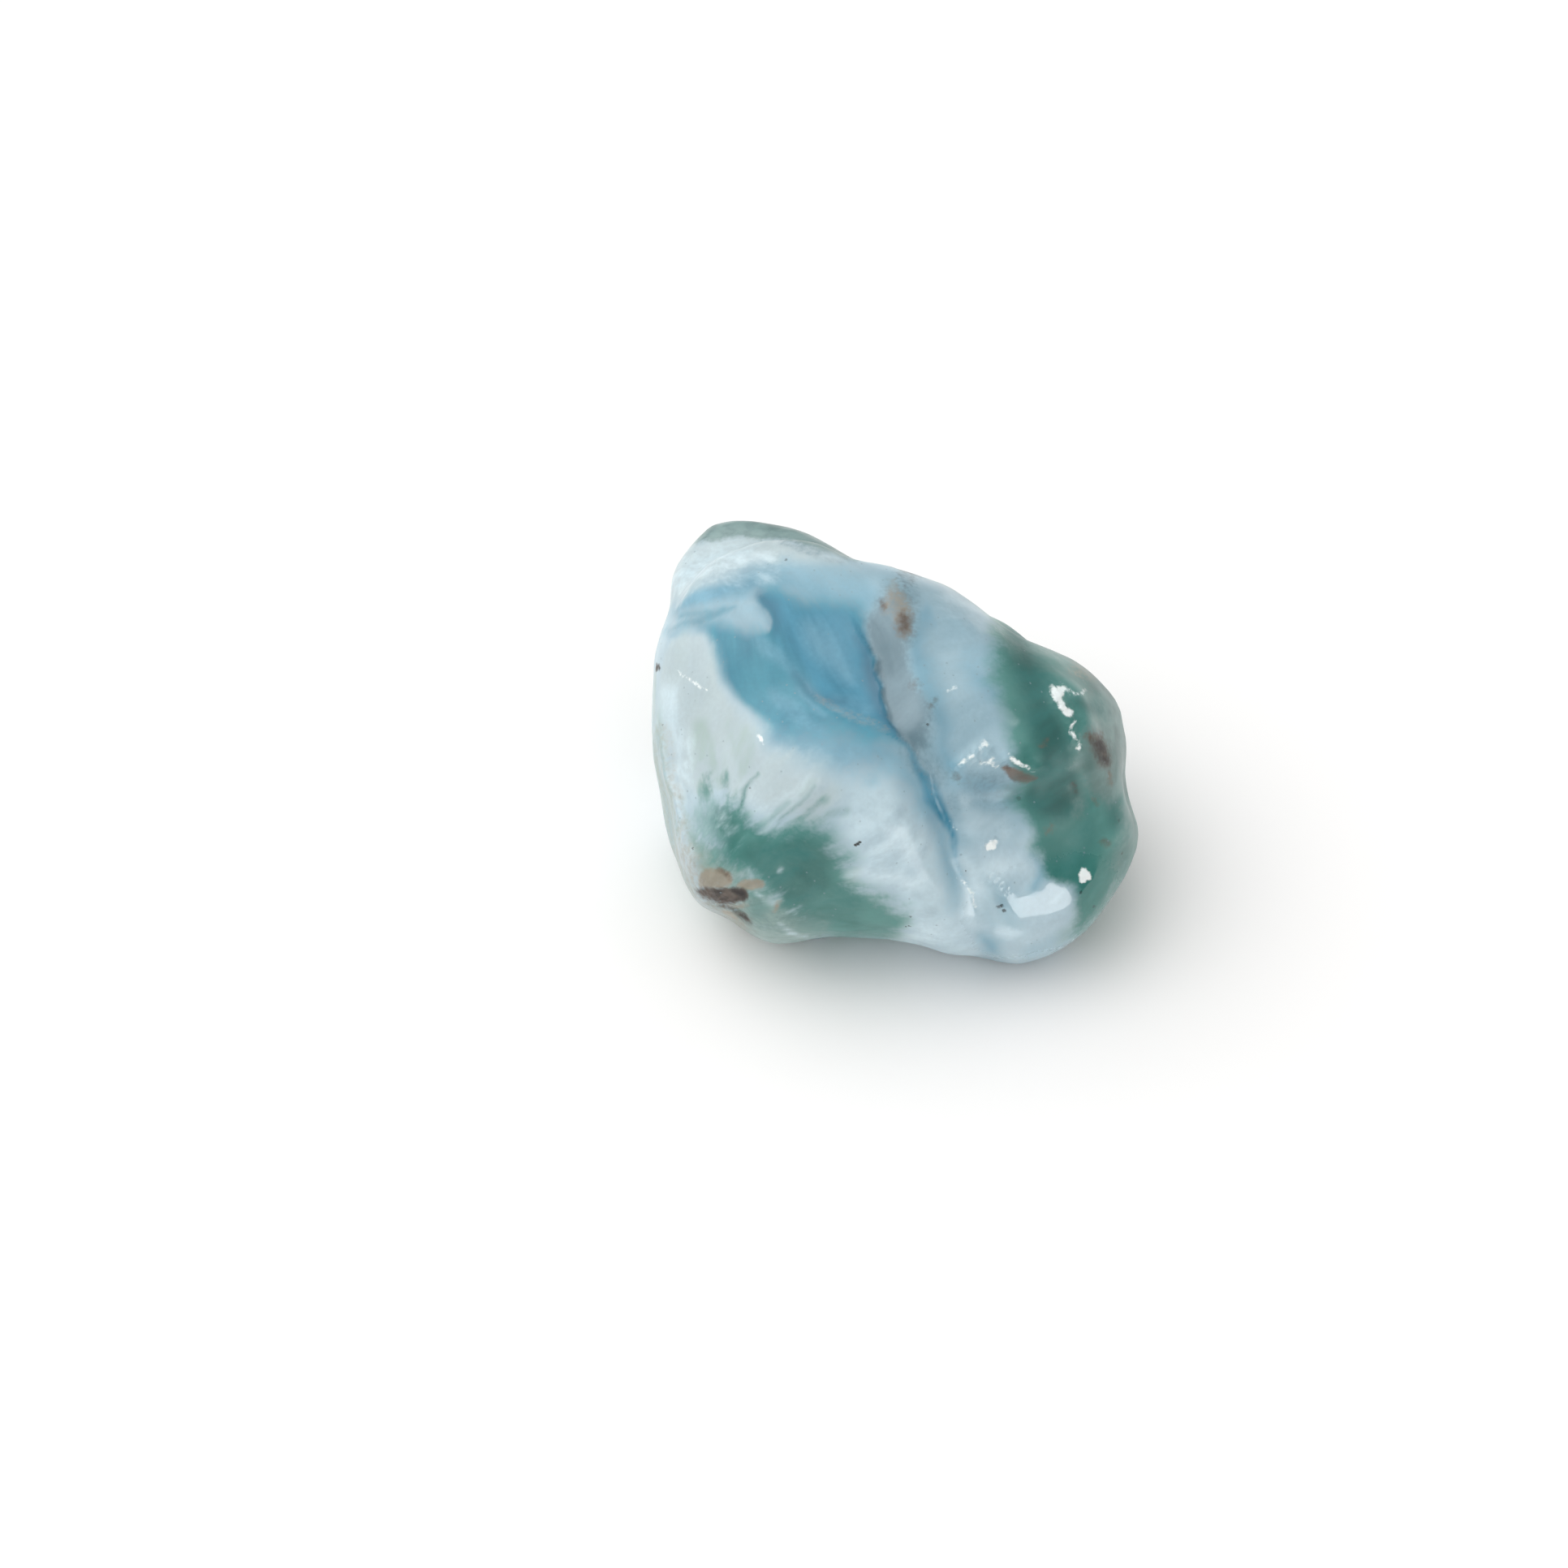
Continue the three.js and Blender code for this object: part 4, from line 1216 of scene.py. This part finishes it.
class Spray(Enum):
    """The sprays that the needles of pectolite grew in."""

    CORNER = ((-12.6, -10.2, 5.6), 0.0)
    HOLLOW = ((-17.5, 12.5, 25.0), 6.0)
    END = ((32.0, 4.0, 12.0), 17.0)
    BACK = ((-2.0, 13.5, 3.0), 0.0)

    @property
    def heart(self) -> tuple[float, float, float]:
        """The point that the needles radiate from, in millimetres of the stone's frame."""
        return self.value[0]

    @property
    def head_start(self) -> float:
        """How many millimetres nearer the spray counts than it is."""
        return self.value[1]


@dataclass(frozen=True)
class Tint:
    """One colour of the stone, laid over those before it.

    The feather is how far the needles pull its edge in and out, and the blotch how far the speckle does,
    both as shares of the finish's edge_swing. The tint wanders between its two shades from one needle and
    one sheaf of needles to the next.
    """

    field: Field
    shade: str
    other_shade: str
    cover: float = 1.0
    feather: float = 0.3
    blotch: float = 0.3


@dataclass(frozen=True)
class TumbledPectolite:
    """Blue pectolite, lightly tumbled: fine radiating needles, half clear, with a wet-looking gloss.

    It is milky white where the needles are pure, sky blue to teal where copper is in them and green where
    iron is, with brown matrix left at the corners. Names that end in _mm are sizes in millimetres.
    """

    milk: str = "#B7CDD5"
    haze: str = "#AEC5CF"
    tints: tuple[Tint, ...] = (
        Tint(Field.MIST, "#88ABB9", "#95B3BF", 0.85, 0.35, 0.1),
        Tint(Field.SKY, "#6598AD", "#75A4B6", 0.85, 0.5, 0.1),
        Tint(Field.TEAL, "#328097", "#3F8CA0", 1.0, 0.4, 0.08),
        Tint(Field.BLUE, "#3B849E", "#458DA7", 1.0, 0.35, 0.08),
        Tint(Field.PALE_BLUE, "#5C96AE", "#6BA0B6", 0.85, 0.4, 0.1),
        Tint(Field.DEEP_BLUE, "#185C76", "#256680", 0.92, 0.25, 0.08),
        Tint(Field.MILK, "#B5C5C9", "#AEBDBF", 0.85, 0.7, 0.1),
        Tint(Field.PALE_GREEN, "#7E9D94", "#94ABA3", 0.85, 0.8, 0.2),
        Tint(Field.GREEN, "#33766E", "#4A857E", 0.97, 0.75, 0.2),
        Tint(Field.DEEP_GREEN, "#0E544F", "#196460", 0.9, 0.65, 0.2),
        Tint(Field.SAGE, "#5B7874", "#748F8C", 0.9, 0.35, 0.4),
        Tint(Field.VEIN, "#57747F", "#728C97", 0.9, 0.3, 0.5),
        Tint(Field.WHITE, "#C3D8E0", "#CCDEE5", 0.7, 0.7, 0.1),
        Tint(Field.CREAM, "#A09684", "#8B8271", 0.9, 0.3, 0.4),
        Tint(Field.RUST, "#7A583F", "#54544B", 0.85, 0.2, 0.5),
        Tint(Field.BROWN, "#3F332A", "#594C43", 0.95, 0.2, 0.4),
        Tint(Field.UMBER, "#241D1C", "#1E1918", 0.95, 0.2, 0.3),
        # The painted glints: near-white painted highlights on the broken crests.
        Tint(Field.BRUISE, "#F4F8F7", "#E9F2F1", 0.97, 0.1, 1.1),
    )
    ore: str = "#262A2B"
    pore: str = "#7C9098"
    # The gloss. Pectolite's index of refraction is about 1.6; rough, polished and broken places differ.
    ior: float = 1.6
    roughness: float = 0.32
    roughness_swing: float = 0.03
    polished_roughness: float = 0.07
    chipped_roughness: float = 0.36
    brown_dulling: float = 0.25
    green_dulling: float = 0.15
    translucence: float = 0.18
    scatter_mm: tuple[float, float, float] = (0.9, 1.3, 1.5)
    # The needles: how wide in radians and how long each is, and how the sprays bend and meet.
    needle_angle: float = 0.09
    needle_length_mm: float = 9.0
    needle_detail: float = 0.55
    sheaf_angle: float = 0.38
    sheaf_length_mm: float = 14.0
    spray_blend_mm: float = 3.0
    sway_mm: float = 6.25
    sway_reach_mm: float = 2.2
    # The grain: how far the needles and the speckle lighten and darken the stone.
    grain: float = 0.075
    mottle: float = 0.035
    cloud_mm: float = 2.6
    speckle_mm: float = 0.30
    # Most of a noise lies in this range, and most of the sum of two noises in that one.
    noise_range: tuple[float, float] = (0.3, 0.7)
    sum_range: tuple[float, float] = (0.8, 1.2)
    # How many softnesses a pattern swings an edge by at a feather or blotch of 1.
    edge_swing: float = 4
    # Pores and specks fade from clear to dark between these multiples of their radius.
    pore_spacing_mm: float = 0.85
    pore_radius_mm: float = 0.07
    pore_edge: tuple[float, float] = (1.3, 0.6)
    pore_cover: float = 0.5
    speck_edge: tuple[float, float] = (1.4, 0.6)
    speck_shake_mm: float = 0.22
    speck_shakes_per_mm: float = 7.0
    # The relief that is too fine for the mesh.
    fine_strength: float = 0.07
    needle_height_mm: float = 0.05
    pit_height_mm: float = 0.04
    chips_per_mm: float = 2.4
    chip_height_mm: float = 0.12

    def make(self, ground: Ground) -> bpy.types.Material:
        """Makes the material.

        Args:
            ground: The finished skin, which says where the specks lie.

        Returns:
            The material.
        """
        material = bpy.data.materials.new("tumbled_pectolite")
        material.use_nodes = True
        tree = material.node_tree
        tree.nodes.clear()
        place = self.place(tree)
        clouds, speckle = (
            add(tree, "TexNoise", None, {"Vector": place, "Scale": 1 / size, "Detail": 3.0}).outputs["Fac"]
            for size in (self.cloud_mm, self.speckle_mm)
        )
        needles, sheaves = self.fibres(tree, place)
        share = self.wander(tree, needles, clouds)
        ends = {0: share, 6: linear(self.haze), 7: linear(self.milk)}
        colour = add(tree, "Mix", COLOURS, ends).outputs[2]
        for tint in self.tints:
            colour = self.lay(tree, colour, tint, needles, sheaves, speckle)
        colour = self.shaded(tree, colour, needles, speckle)
        pores, specks = self.pores(tree, place), self.specks(tree, place, ground)
        for dots, shade in ((pores, self.pore), (specks, self.ore)):
            colour = add(tree, "Mix", COLOURS, {0: dots, 6: colour, 7: linear(shade)}).outputs[2]
        chipped = self.mask_of(tree, Field.CHIPPED)
        polished = self.mask_of(tree, Field.POLISHED)
        shader = add(
            tree,
            "BsdfPrincipled",
            {"subsurface_method": "RANDOM_WALK"},
            {
                "Base Color": colour,
                "Roughness": self.gloss(tree, speckle, chipped, polished),
                "IOR": self.ior,
                "Normal": self.relief(tree, place, needles, chipped, polished, speckle),
                "Subsurface Weight": self.translucence,
                "Subsurface Radius": self.scatter_mm,
                "Subsurface Scale": MM,
            },
        )
        add(tree, "OutputMaterial", None, {"Surface": shader.outputs[0]})
        return material

    def place(self, tree: Tree) -> Socket:
        """Returns the place in the stone in millimetres, bent a little so that no needle is straight."""
        here = add(tree, "TexCoord").outputs["Object"]
        scaled = add(tree, "VectorMath", {"operation": "SCALE"}, {0: here, "Scale": 1 / MM}).outputs[0]
        sway = add(tree, "TexNoise", None, {"Vector": scaled, "Scale": 1 / self.sway_mm, "Detail": 1.0})
        centred = add(
            tree, "VectorMath", {"operation": "SUBTRACT"}, {0: sway.outputs["Color"], 1: MIDDLE}
        ).outputs[0]
        bend = add(
            tree, "VectorMath", {"operation": "SCALE"}, {0: centred, "Scale": self.sway_reach_mm}
        ).outputs[0]
        return add(tree, "VectorMath", {"operation": "ADD"}, {0: scaled, 1: bend}).outputs[0]

    def wander(self, tree: Tree, one: Socket, other: Socket) -> Socket:
        """Returns two patterns together as a share from 0 to 1."""
        both = add(tree, "Math", {"operation": "ADD"}, {0: one, 1: other}).outputs[0]
        start, end = self.sum_range
        return add(tree, "MapRange", SMOOTH, {"Value": both, "From Min": start, "From Max": end}).outputs[0]

    def fibres(self, tree: Tree, place: Socket) -> tuple[Socket, Socket]:
        """Makes the fibres that radiate from the sprays; each part of the stone shows its nearest spray's.

        Args:
            tree: The material's tree.
            place: The place in the stone, in millimetres.

        Returns:
            The fine needles and the broad sheaves of them, both around 0.5.
        """
        needles, sheaves, nearest = None, None, None
        for spray in Spray:
            away = add(tree, "VectorMath", {"operation": "SUBTRACT"}, {0: place, 1: spray.heart}).outputs[0]
            aim = add(tree, "VectorMath", {"operation": "NORMALIZE"}, {0: away}).outputs[0]
            reach = add(tree, "VectorMath", {"operation": "LENGTH"}, {0: away}).outputs["Value"]
            fine = self.rays(tree, aim, reach, self.needle_angle, self.needle_length_mm)
            broad = self.rays(tree, aim, reach, self.sheaf_angle, self.sheaf_length_mm)
            counted = add(
                tree, "Math", {"operation": "SUBTRACT"}, {0: reach, 1: spray.head_start}
            ).outputs[0]
            if nearest is None:
                needles, sheaves, nearest = fine, broad, counted
                continue
            lead = add(tree, "Math", {"operation": "SUBTRACT"}, {0: nearest, 1: counted}).outputs[0]
            share = add(
                tree,
                "MapRange",
                SMOOTH,
                {"Value": lead, "From Min": -self.spray_blend_mm, "From Max": self.spray_blend_mm},
            ).outputs[0]
            needles = add(tree, "Mix", NUMBERS, {0: share, 2: needles, 3: fine}).outputs[0]
            sheaves = add(tree, "Mix", NUMBERS, {0: share, 2: sheaves, 3: broad}).outputs[0]
            nearest = add(tree, "Math", {"operation": "MINIMUM"}, {0: nearest, 1: counted}).outputs[0]
        return needles, sheaves

    def rays(self, tree: Tree, aim: Socket, reach: Socket, angle: float, length: float) -> Socket:
        """Returns fibres of one spray.

        Args:
            tree: The material's tree.
            aim: The direction from the spray's heart.
            reach: The distance from it, in millimetres.
            angle: How wide a fibre is, in radians.
            length: How long it is, in millimetres.

        Returns:
            The pattern, around 0.5.
        """
        spread = add(tree, "VectorMath", {"operation": "SCALE"}, {0: aim, "Scale": 1 / angle}).outputs[0]
        slid = add(tree, "Math", {"operation": "DIVIDE"}, {0: reach, 1: length}).outputs[0]
        moved = add(tree, "VectorMath", {"operation": "ADD"}, {0: spread, 1: slid}).outputs[0]
        return add(
            tree,
            "TexNoise",
            None,
            {"Vector": moved, "Scale": 1.0, "Detail": 3.0, "Roughness": self.needle_detail},
        ).outputs["Fac"]

    def mask_of(self, tree: Tree, field: Field) -> Socket:
        """Returns a field's plain mask from 0 to 1."""
        depth = add(tree, "Attribute", {"attribute_name": field.value}).outputs["Fac"]
        return add(tree, "MapRange", SMOOTH, {"Value": depth, "From Min": -1.0, "From Max": 1.0}).outputs[0]

    def lay(
        self,
        tree: Tree,
        under: Socket,
        tint: Tint,
        needles: Socket,
        sheaves: Socket,
        speckle: Socket,
    ) -> Socket:
        """Lays a tint over the colour so far.

        Args:
            tree: The material's tree.
            under: The colour so far.
            tint: The tint.
            needles: The needles, which feather its edge.
            sheaves: The sheaves of needles, which its shade changes with.
            speckle: The fine grain, which blotches its edge.

        Returns:
            The new colour.
        """
        depth = add(tree, "Attribute", {"attribute_name": tint.field.value}).outputs["Fac"]
        for pattern, pull in ((needles, tint.feather), (speckle, tint.blotch)):
            most = pull * self.edge_swing
            swing = add(
                tree, "Math", {"operation": "MULTIPLY_ADD"}, {0: pattern, 1: most, 2: -most / 2}
            ).outputs[0]
            depth = add(tree, "Math", {"operation": "ADD"}, {0: depth, 1: swing}).outputs[0]
        mask = add(
            tree,
            "MapRange",
            SMOOTH,
            {"Value": depth, "From Min": -1.0, "From Max": 1.0, "To Max": tint.cover},
        ).outputs[0]
        share = self.wander(tree, needles, sheaves)
        shades = {0: share, 6: linear(tint.shade), 7: linear(tint.other_shade)}
        shade = add(tree, "Mix", COLOURS, shades).outputs[2]
        return add(tree, "Mix", COLOURS, {0: mask, 6: under, 7: shade}).outputs[2]

    def shaded(self, tree: Tree, colour: Socket, needles: Socket, speckle: Socket) -> Socket:
        """Lets the needles and the fine grain lighten and darken the colour a little, everywhere.

        Args:
            tree: The material's tree.
            colour: The colour so far.
            needles: The needles.
            speckle: The fine grain.

        Returns:
            The new colour.
        """
        start, end = self.noise_range
        swings = []
        for pattern, most in ((needles, self.grain), (speckle, self.mottle)):
            limits = {"From Min": start, "From Max": end, "To Min": 1 - most, "To Max": 1 + most}
            swings.append(add(tree, "MapRange", None, {"Value": pattern, **limits}).outputs[0])
        light = add(tree, "Math", {"operation": "MULTIPLY"}, {0: swings[0], 1: swings[1]}).outputs[0]
        return add(tree, "VectorMath", {"operation": "SCALE"}, {0: colour, "Scale": light}).outputs[0]

    def pores(self, tree: Tree, place: Socket) -> Socket:
        """Returns the mask of the pin-point pores, which are only half laid on."""
        gap = add(
            tree, "TexVoronoi", None, {"Vector": place, "Scale": 1 / self.pore_spacing_mm}
        ).outputs["Distance"]
        clear, dark = (self.pore_radius_mm / self.pore_spacing_mm * part for part in self.pore_edge)
        return add(
            tree,
            "MapRange",
            SMOOTH,
            {"Value": gap, "From Min": clear, "From Max": dark, "To Max": self.pore_cover},
        ).outputs[0]

    def specks(self, tree: Tree, place: Socket, ground: Ground) -> Socket:
        """Returns the mask of the dark specks of ore."""
        here = add(tree, "TexCoord").outputs["Object"]
        rough = add(
            tree, "TexNoise", None, {"Vector": place, "Scale": self.speck_shakes_per_mm, "Detail": 1.0}
        )
        centred = add(
            tree, "VectorMath", {"operation": "SUBTRACT"}, {0: rough.outputs["Color"], 1: MIDDLE}
        ).outputs[0]
        reach = (self.speck_shake_mm * MM,) * 3
        shaken = add(
            tree, "VectorMath", {"operation": "MULTIPLY_ADD"}, {0: centred, 1: reach, 2: here}
        ).outputs[0]
        mask = None
        for speck in SPECKS:
            centre = tuple(ground.land(speck.right, speck.up) * MM)
            gap = add(
                tree, "VectorMath", {"operation": "DISTANCE"}, {0: shaken, 1: centre}
            ).outputs["Value"]
            clear, dark = (speck.radius * part * MM for part in self.speck_edge)
            dot = add(
                tree,
                "MapRange",
                SMOOTH,
                {"Value": gap, "From Min": clear, "From Max": dark, "To Max": speck.strength},
            ).outputs[0]
            mask = dot if mask is None else add(
                tree, "Math", {"operation": "MAXIMUM"}, {0: mask, 1: dot}
            ).outputs[0]
        return mask

    def gloss(self, tree: Tree, speckle: Socket, chipped: Socket, polished: Socket) -> Socket:
        """Returns the roughness: dull where it is broken or brown, glassy on the polished nose.

        Args:
            tree: The material's tree.
            speckle: The fine grain.
            chipped: The mask of the broken places.
            polished: The mask of the polished nose.

        Returns:
            The roughness.
        """
        start, end = self.noise_range
        low, high = self.roughness - self.roughness_swing, self.roughness + self.roughness_swing
        limits = {"From Min": start, "From Max": end, "To Min": low, "To Max": high}
        rough = add(tree, "MapRange", None, {"Value": speckle, **limits}).outputs[0]
        for mask, added in (
            (polished, self.polished_roughness - self.roughness),
            (chipped, self.chipped_roughness - self.roughness),
            (self.mask_of(tree, Field.BROWN), self.brown_dulling),
            (self.mask_of(tree, Field.DEEP_GREEN), self.green_dulling),
        ):
            more = add(tree, "Math", {"operation": "MULTIPLY_ADD"}, {0: mask, 1: added, 2: rough})
            rough = more.outputs[0]
        return rough

    def relief(
        self,
        tree: Tree,
        place: Socket,
        needles: Socket,
        chipped: Socket,
        polished: Socket,
        speckle: Socket,
    ) -> Socket:
        """Makes the relief that is too fine for the mesh: needle ends, pits and broken crests.

        Args:
            tree: The material's tree.
            place: The place in the stone, in millimetres.
            needles: The needles.
            chipped: The mask of the broken places.
            polished: The mask of the polished nose.
            speckle: The fine grain.

        Returns:
            The normal.
        """
        fine = add(
            tree, "MapRange", None, {"Value": polished, "To Min": self.fine_strength, "To Max": 0.0}
        ).outputs[0]
        broken = add(tree, "TexVoronoi", None, {"Vector": place, "Scale": self.chips_per_mm})
        chips = add(
            tree, "Math", {"operation": "MULTIPLY"}, {0: broken.outputs["Distance"], 1: chipped}
        ).outputs[0]
        normal = None
        for height, reach_mm, strength in (
            (needles, self.needle_height_mm, fine),
            (speckle, self.pit_height_mm, fine),
            (chips, self.chip_height_mm, 1.0),
        ):
            inputs = {"Strength": strength, "Distance": reach_mm * MM, "Height": height}
            if normal is not None:
                inputs["Normal"] = normal
            normal = add(tree, "Bump", None, inputs).outputs[0]
        return normal


# --- The studio -----------------------------------------------------------------------------------------


@dataclass
class Studio:
    """A plain pale floor, soft lights and the camera.

    The walls behind, the front wall, the ceiling and the key light are radiances. The room goes over from
    the front wall to the walls behind, and from the walls to the ceiling, between two values of Y and of Z
    on the unit sphere. The key is a broad soft lobe, which starts at the cosine key_reach from its middle.
    """

    show: ShowSide
    floor_half: float = 3.0
    floor_shade: str = "#F8F7F6"
    floor_roughness: float = 0.9
    floor_sheen: float = 0.1
    backdrop_shade: str = "#FFFFFF"
    walls: float = 0.50
    front_wall: float = 0.04
    ceiling: float = 1.06
    front_to_back: tuple[float, float] = (-0.6, 0.7)
    wall_to_ceiling: tuple[float, float] = (0.3, 1.0)
    key: float = 1.45
    key_toward: tuple[float, float, float] = (-0.75, 0.10, 0.65)
    key_reach: float = 0.5
    camera_clip: tuple[float, float] = (0.01, 10.0)

    def build(self) -> None:
        """Builds the floor, the surroundings, the lights and the camera."""
        self.floor()
        self.surroundings()
        target = Vector(self.show.heart) * MM
        WINDOW.hang(target)
        self.camera()
        scene = bpy.context.scene
        scene.view_settings.view_transform = "Standard"
        scene.view_settings.look = "None"

    def floor(self) -> None:
        """Makes the floor that the stone rests on: matt white paper, which shows only its soft shadow."""
        mesh = bpy.data.meshes.new("floor")
        sheet = bmesh.new()
        bmesh.ops.create_grid(sheet, x_segments=1, y_segments=1, size=self.floor_half)
        sheet.to_mesh(mesh)
        sheet.free()
        floor = bpy.data.objects.new("floor", mesh)
        bpy.context.scene.collection.objects.link(floor)
        material = bpy.data.materials.new("matt_white_paper")
        material.use_nodes = True
        tree = material.node_tree
        tree.nodes.clear()
        paper = add(
            tree,
            "BsdfPrincipled",
            None,
            {
                "Base Color": linear(self.floor_shade),
                "Roughness": self.floor_roughness,
                "Specular IOR Level": self.floor_sheen,
            },
        )
        add(tree, "OutputMaterial", None, {"Surface": paper.outputs[0]})
        mesh.materials.append(material)

    def surroundings(self) -> None:
        """Makes the white room: bright above and dim round the sides, but all white behind the stone."""
        world = bpy.data.worlds.new("white_room")
        bpy.context.scene.world = world
        world.use_nodes = True
        tree = world.node_tree
        tree.nodes.clear()
        way = add(tree, "TexCoord").outputs["Generated"]
        split = add(tree, "SeparateXYZ", None, {0: way})
        front, back = self.front_to_back
        limits = {"From Min": front, "From Max": back, "To Min": self.front_wall, "To Max": self.walls}
        round_about = add(tree, "MapRange", SMOOTH, {"Value": split.outputs["Y"], **limits}).outputs[0]
        low, high = self.wall_to_ceiling
        overhead = add(
            tree, "MapRange", SMOOTH, {"Value": split.outputs["Z"], "From Min": low, "From Max": high}
        ).outputs[0]
        fill = add(tree, "Mix", NUMBERS, {0: overhead, 2: round_about, 3: self.ceiling}).outputs[0]
        toward_key = add(
            tree,
            "VectorMath",
            {"operation": "DOT_PRODUCT"},
            {0: way, 1: tuple(Vector(self.key_toward).normalized())},
        ).outputs["Value"]
        key = add(
            tree,
            "MapRange",
            SMOOTH,
            {"Value": toward_key, "From Min": self.key_reach, "From Max": 1.0, "To Max": self.key},
        ).outputs[0]
        shine = add(tree, "Math", {"operation": "ADD"}, {0: fill, 1: key}).outputs[0]
        seen = add(tree, "LightPath").outputs["Is Camera Ray"]
        strength = add(tree, "Mix", NUMBERS, {0: seen, 2: shine, 3: 1.0}).outputs[0]
        light = add(
            tree, "Background", None, {"Color": linear(self.backdrop_shade), "Strength": strength}
        )
        add(tree, "OutputWorld", None, {"Surface": light.outputs[0]})

    def camera(self) -> None:
        """Sets the camera at the eye, level across and looking down at the stone."""
        data = bpy.data.cameras.new("camera")
        data.lens = self.show.lens
        data.sensor_width = self.show.sensor
        data.clip_start, data.clip_end = self.camera_clip
        holder = bpy.data.objects.new("camera", data)
        holder.location = Vector(self.show.eye) * MM
        holder.rotation_euler = (math.radians(90 - self.show.elevation), 0, 0)
        bpy.context.scene.collection.objects.link(holder)
        bpy.context.scene.camera = holder


def main() -> None:
    """Builds the scene around the frame, with the visible stone kept inside the frame's box."""
    logging.basicConfig(level=logging.INFO, format="%(name)s: %(message)s")
    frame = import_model()
    show = ShowSide()
    maker = StoneSkin(show)
    skin = maker.build(frame["nodes"][STONE])
    skin.data.materials.append(TumbledPectolite().make(maker.ground_of(skin.data)))
    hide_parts(STONE)
    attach(skin, "root")
    LOG.info("%s: %d quads, standing for %s", skin.name, len(skin.data.polygons), STONE)
    Studio(show).build()
    LOG.info("studio: floor, soft surroundings, a window light and a camera")


if __name__ == "__main__":
    main()
